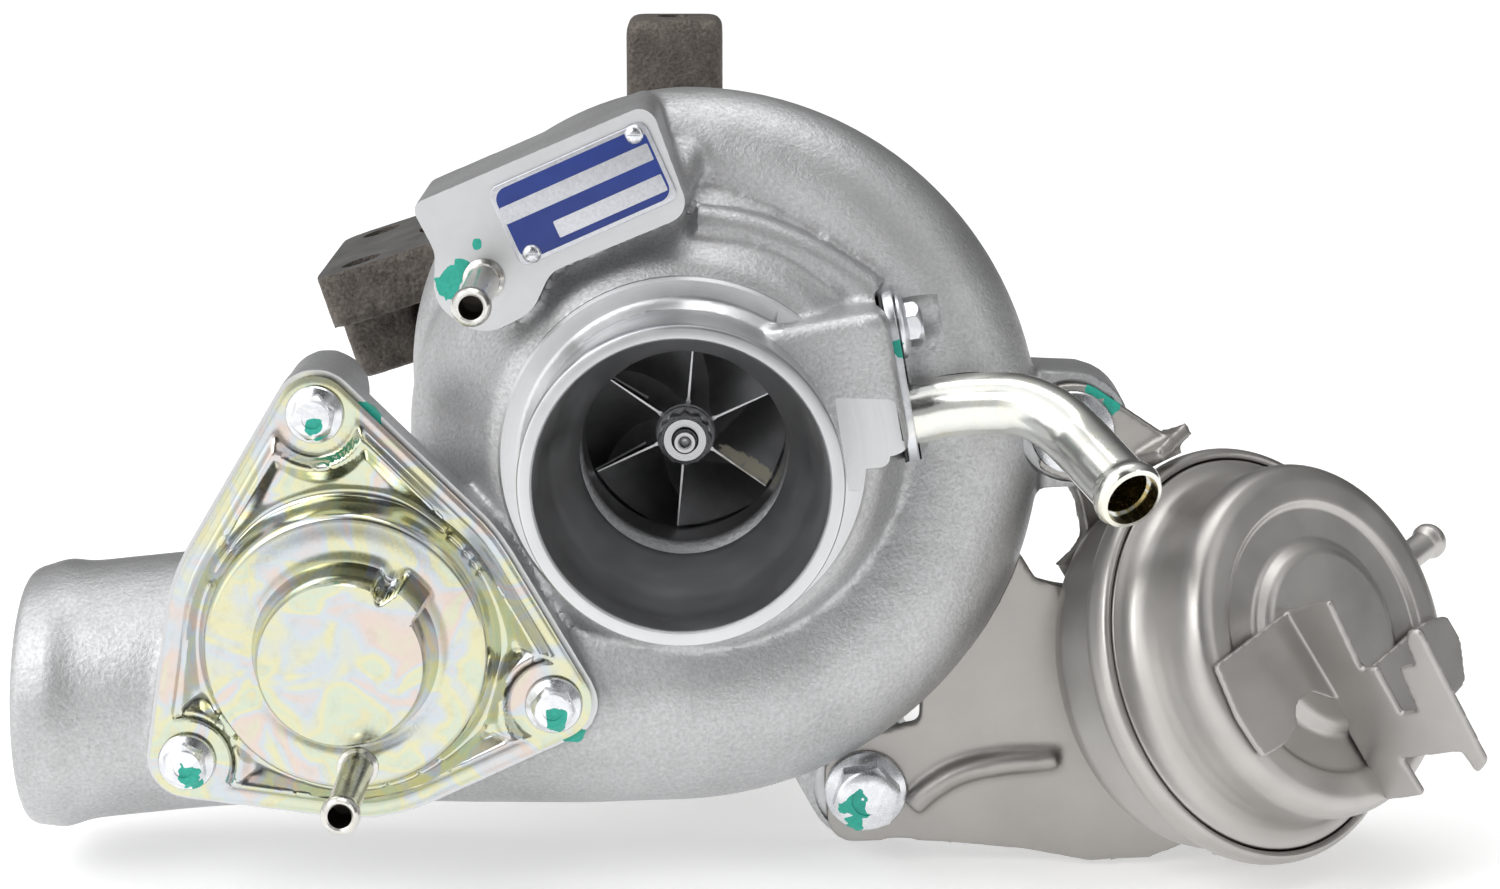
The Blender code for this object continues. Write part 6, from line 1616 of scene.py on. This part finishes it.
def wastegate_pieces():
    outside = GATE + GATE_AXIS * LEVER_REACH
    lever_face = frame_at(outside + GATE_AXIS * 2.0, GATE_AXIS, PIN - outside)
    reach = (PIN - outside).length
    lever = plate("lever", hull_outline([(0, 0, 8.5), (reach, 0, 7.0)]), 4.0, lever_face, edge=0.5)
    pin_face = frame_at(PIN, GATE_AXIS, PIN - outside)
    cut(lever, disc("shaft_hole", SHAFT_RADIUS + 0.3, -3, 9, lever_face, SMALL_STEPS),
        disc("pin_hole", PIN_RADIUS + 0.3, -6, 6, pin_face, SMALL_STEPS))
    piece(lever, "gate_lever", "wastegate", "heat_steel", [HOT_STEEL], "wastegate_lever")
    top = 2.0 + 0.3 + 4.0 + 0.3 + 2.2
    pin = [
        (0, -top), (PIN_RADIUS - 0.4, -top), (PIN_RADIUS, -top + 0.4), (PIN_RADIUS, -top + 1.0),
        (PIN_RADIUS - 0.7, -top + 1.0), (PIN_RADIUS - 0.7, -top + 2.0), (PIN_RADIUS, -top + 2.0),
        (PIN_RADIUS, 2.3), (PIN_RADIUS + 1.2, 2.3), (PIN_RADIUS + 1.6, 2.6), (PIN_RADIUS + 1.6, 3.6),
        (PIN_RADIUS + 1.1, 4.0), (0, 4.0),
    ]
    piece(turned("pin", pin, pin_face, SMALL_STEPS), "gate_pin", "wastegate", "heat_steel", [STEEL_BRIGHT],
          "lever_pin")
    clip = ring("clip", 5.2, PIN_RADIUS - 0.4, -top + 1.2, -top + 1.8, pin_face, SMALL_STEPS, edge=0.1)
    cut(clip, block("clip_gap", (6, 3, 4), frame_at(PIN + GATE_AXIS * top + (PIN - outside).normalized() * 4,
                                                    GATE_AXIS, PIN - outside)))
    piece(clip, "gate_pin_clip", "wastegate", "spring_steel", [SPRING], "lever_pin_clip")
    inner = FLAP_REACH - 5.0
    length = LEVER_REACH + 3.0 - inner
    shaft = disc("gate_shaft", SHAFT_RADIUS, 0, length,
                 frame_at(GATE + GATE_AXIS * (LEVER_REACH + 3.0), GATE_AXIS), SMALL_STEPS, edge=0.6)
    flap_centre = Vector((0, CHAMBER_Y + 0.3, 0)) + flap_place()
    join(shaft, sweep("gate_arm", [GATE + GATE_AXIS * FLAP_REACH, flap_centre + Vector((0, 6.2, 0))], 3.2,
                      0, SMALL_STEPS))
    piece(shaft, "gate_spindle", "wastegate", "heat_steel", [HOT_STEEL], "wastegate_shaft")
    flap = [(0, 0), (9.8, 0), (10.0, 0.2), (10.0, 1.8), (9.6, 2.1), (5.0, 2.4), (0, 2.4)]
    piece(turned("flap", flap, frame_at(flap_centre, (0, -1, 0)), 64), "gate_flap", "wastegate",
          "heat_steel",
          [HOT_STEEL], "wastegate_flap")


# ---- inner parts that keep the model's own shapes ---------------------------------------------------------
def finish_inner_parts():
    alloy = turned_metal("turned_alloy", (0.62, 0.625, 0.635), 0.32, (0, 0, 0), (0, 1, 0))
    bronze = turned_metal("turned_bronze", (0.55, 0.34, 0.15), 0.3, (0, 0, 0), (0, 1, 0))
    wanted = {
        "compressor_backplate": alloy, "backplate_o_ring": RUBBER, "housing_snap_ring": SPRING,
        "bypass_diaphragm": RUBBER, "bypass_valve": alloy, "bypass_spring": SPRING,
        "actuator_diaphragm": RUBBER,
        "diaphragm_cup": CAN_STEEL, "actuator_spring": SPRING, "thrust_bearing": bronze,
        "journal_bearing_front": bronze, "journal_bearing_rear": bronze, "turbine_heat_shield": HOT_STEEL,
        "oil_flinger": STEEL_BRIGHT, "thrust_collar": STEEL_BRIGHT, "wastegate_bush": HOT_STEEL,
    }
    for name, material in wanted.items():
        for material_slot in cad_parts[name].material_slots:
            material_slot.material = material


# ---- studio -----------------------------------------------------------------------------------------------
def area_light(name, place, aim, size, power):
    """Rectangular lamp at a place, aimed at a point."""
    data = bpy.data.lights.new(name, "AREA")
    data.shape = "RECTANGLE"
    data.size, data.size_y = size
    data.energy = power
    lamp = bpy.data.objects.new(name, data)
    bpy.context.scene.collection.objects.link(lamp)
    lamp.location = Vector(place)
    lamp.rotation_euler = (Vector(aim) - Vector(place)).to_track_quat("-Z", "Y").to_euler()
    return lamp


def studio():
    low = CAD_BOX[0]
    bm = bmesh.new()
    bmesh.ops.create_grid(bm, x_segments=24, y_segments=24, size=9.0)
    mesh = bpy.data.meshes.new("studio_floor")
    bm.to_mesh(mesh)
    bm.free()
    floor = bpy.data.objects.new("studio_floor", mesh)
    floor.location = (0, 0, low[2] - 0.0006)
    bpy.context.scene.collection.objects.link(floor)
    g = Graph("studio_paper")
    grain = g.noise(2.5, 3.0)
    paper = g.set(colour=g.ramp(grain, (0.3, (0.88, 0.88, 0.88)), (0.7, (0.91, 0.91, 0.91))), roughness=0.9,
                  specular=0.1, metallic=0.0)
    g.shader.inputs["Emission Color"].default_value = (1, 1, 1, 1)
    g.shader.inputs["Emission Strength"].default_value = 0.4
    mesh.materials.append(paper)
    bpy.context.scene.world = studio_world()
    bpy.context.scene.view_settings.view_transform = "Standard"
    middle = (0.03, -0.13, -0.04)
    area_light("key_left", (-0.55, -0.95, 0.75), middle, (0.6, 0.6), 3.5)
    area_light("top_soft", (0.1, 0.1, 1.2), middle, (0.8, 0.5), 3)
    area_light("right_strip", (0.95, -0.45, 0.35), middle, (0.2, 0.9), 1)


def studio_world():
    """Light tent: brightest in front and overhead, dimmer behind and to the right, with a dark flag above the lens."""
    world = bpy.data.worlds.new("studio")
    world.use_nodes = True
    tree = world.node_tree
    place = tree.nodes.new("ShaderNodeTexCoord")
    strength = None
    sides = (((0, 1, 0), -1.0, 1.0, 0.50, 0.12), ((0, 0, 1), 0.4, 0.97, 1.0, 3.2),
             ((1, 0, 0), 0.0, 0.9, 1.0, 0.55),
             ((-1, 0, 0), 0.2, 0.95, 1.0, 4.0), ((0.05, -0.72, 0.69), 0.87, 0.95, 1.0, 0.1))
    for direction, start, end, at_start, at_end in sides:
        facing = tree.nodes.new("ShaderNodeVectorMath")
        facing.operation = "DOT_PRODUCT"
        facing.inputs[1].default_value = direction
        tree.links.new(place.outputs["Generated"], facing.inputs[0])
        share = tree.nodes.new("ShaderNodeMapRange")
        share.interpolation_type = "SMOOTHSTEP"
        for socket, value in zip(("From Min", "From Max", "To Min", "To Max"),
                                 (start, end, at_start, at_end)):
            share.inputs[socket].default_value = value
        tree.links.new(facing.outputs["Value"], share.inputs["Value"])
        if strength is None:
            strength = share.outputs["Result"]
            continue
        times = tree.nodes.new("ShaderNodeMath")
        times.operation = "MULTIPLY"
        tree.links.new(strength, times.inputs[0])
        tree.links.new(share.outputs["Result"], times.inputs[1])
        strength = times.outputs[0]
    background = tree.nodes["Background"]
    background.inputs["Color"].default_value = (1, 1, 1, 1)
    tree.links.new(strength, background.inputs["Strength"])
    return world


def camera():
    data = bpy.data.cameras.new("camera")
    data.lens = 84.0
    data.sensor_width = 36.0
    data.clip_end = 100.0
    eye = bpy.data.objects.new("camera", data)
    elevation = math.radians(12.0)
    backwards = Vector((0, -math.cos(elevation), math.sin(elevation)))
    upwards = Vector((0, math.sin(elevation), math.cos(elevation)))
    eye.location = (backwards * 673.0 + Vector((13.3, 0, 0)) + upwards * 8.3 - PORT) * MM
    eye.rotation_euler = (math.radians(90) - elevation, 0, 0)
    bpy.context.scene.collection.objects.link(eye)
    bpy.context.scene.camera = eye


compressor_housing()
bypass_pieces()
nameplate_pieces()
bleed_tube_pieces()
actuator_pieces()
rotor_pieces()
bearing_pieces()
turbine_housing_piece()
clamp_pieces()
wastegate_pieces()
finish_inner_parts()
bpy.data.collections.remove(WORKSHOP)
studio()
camera()
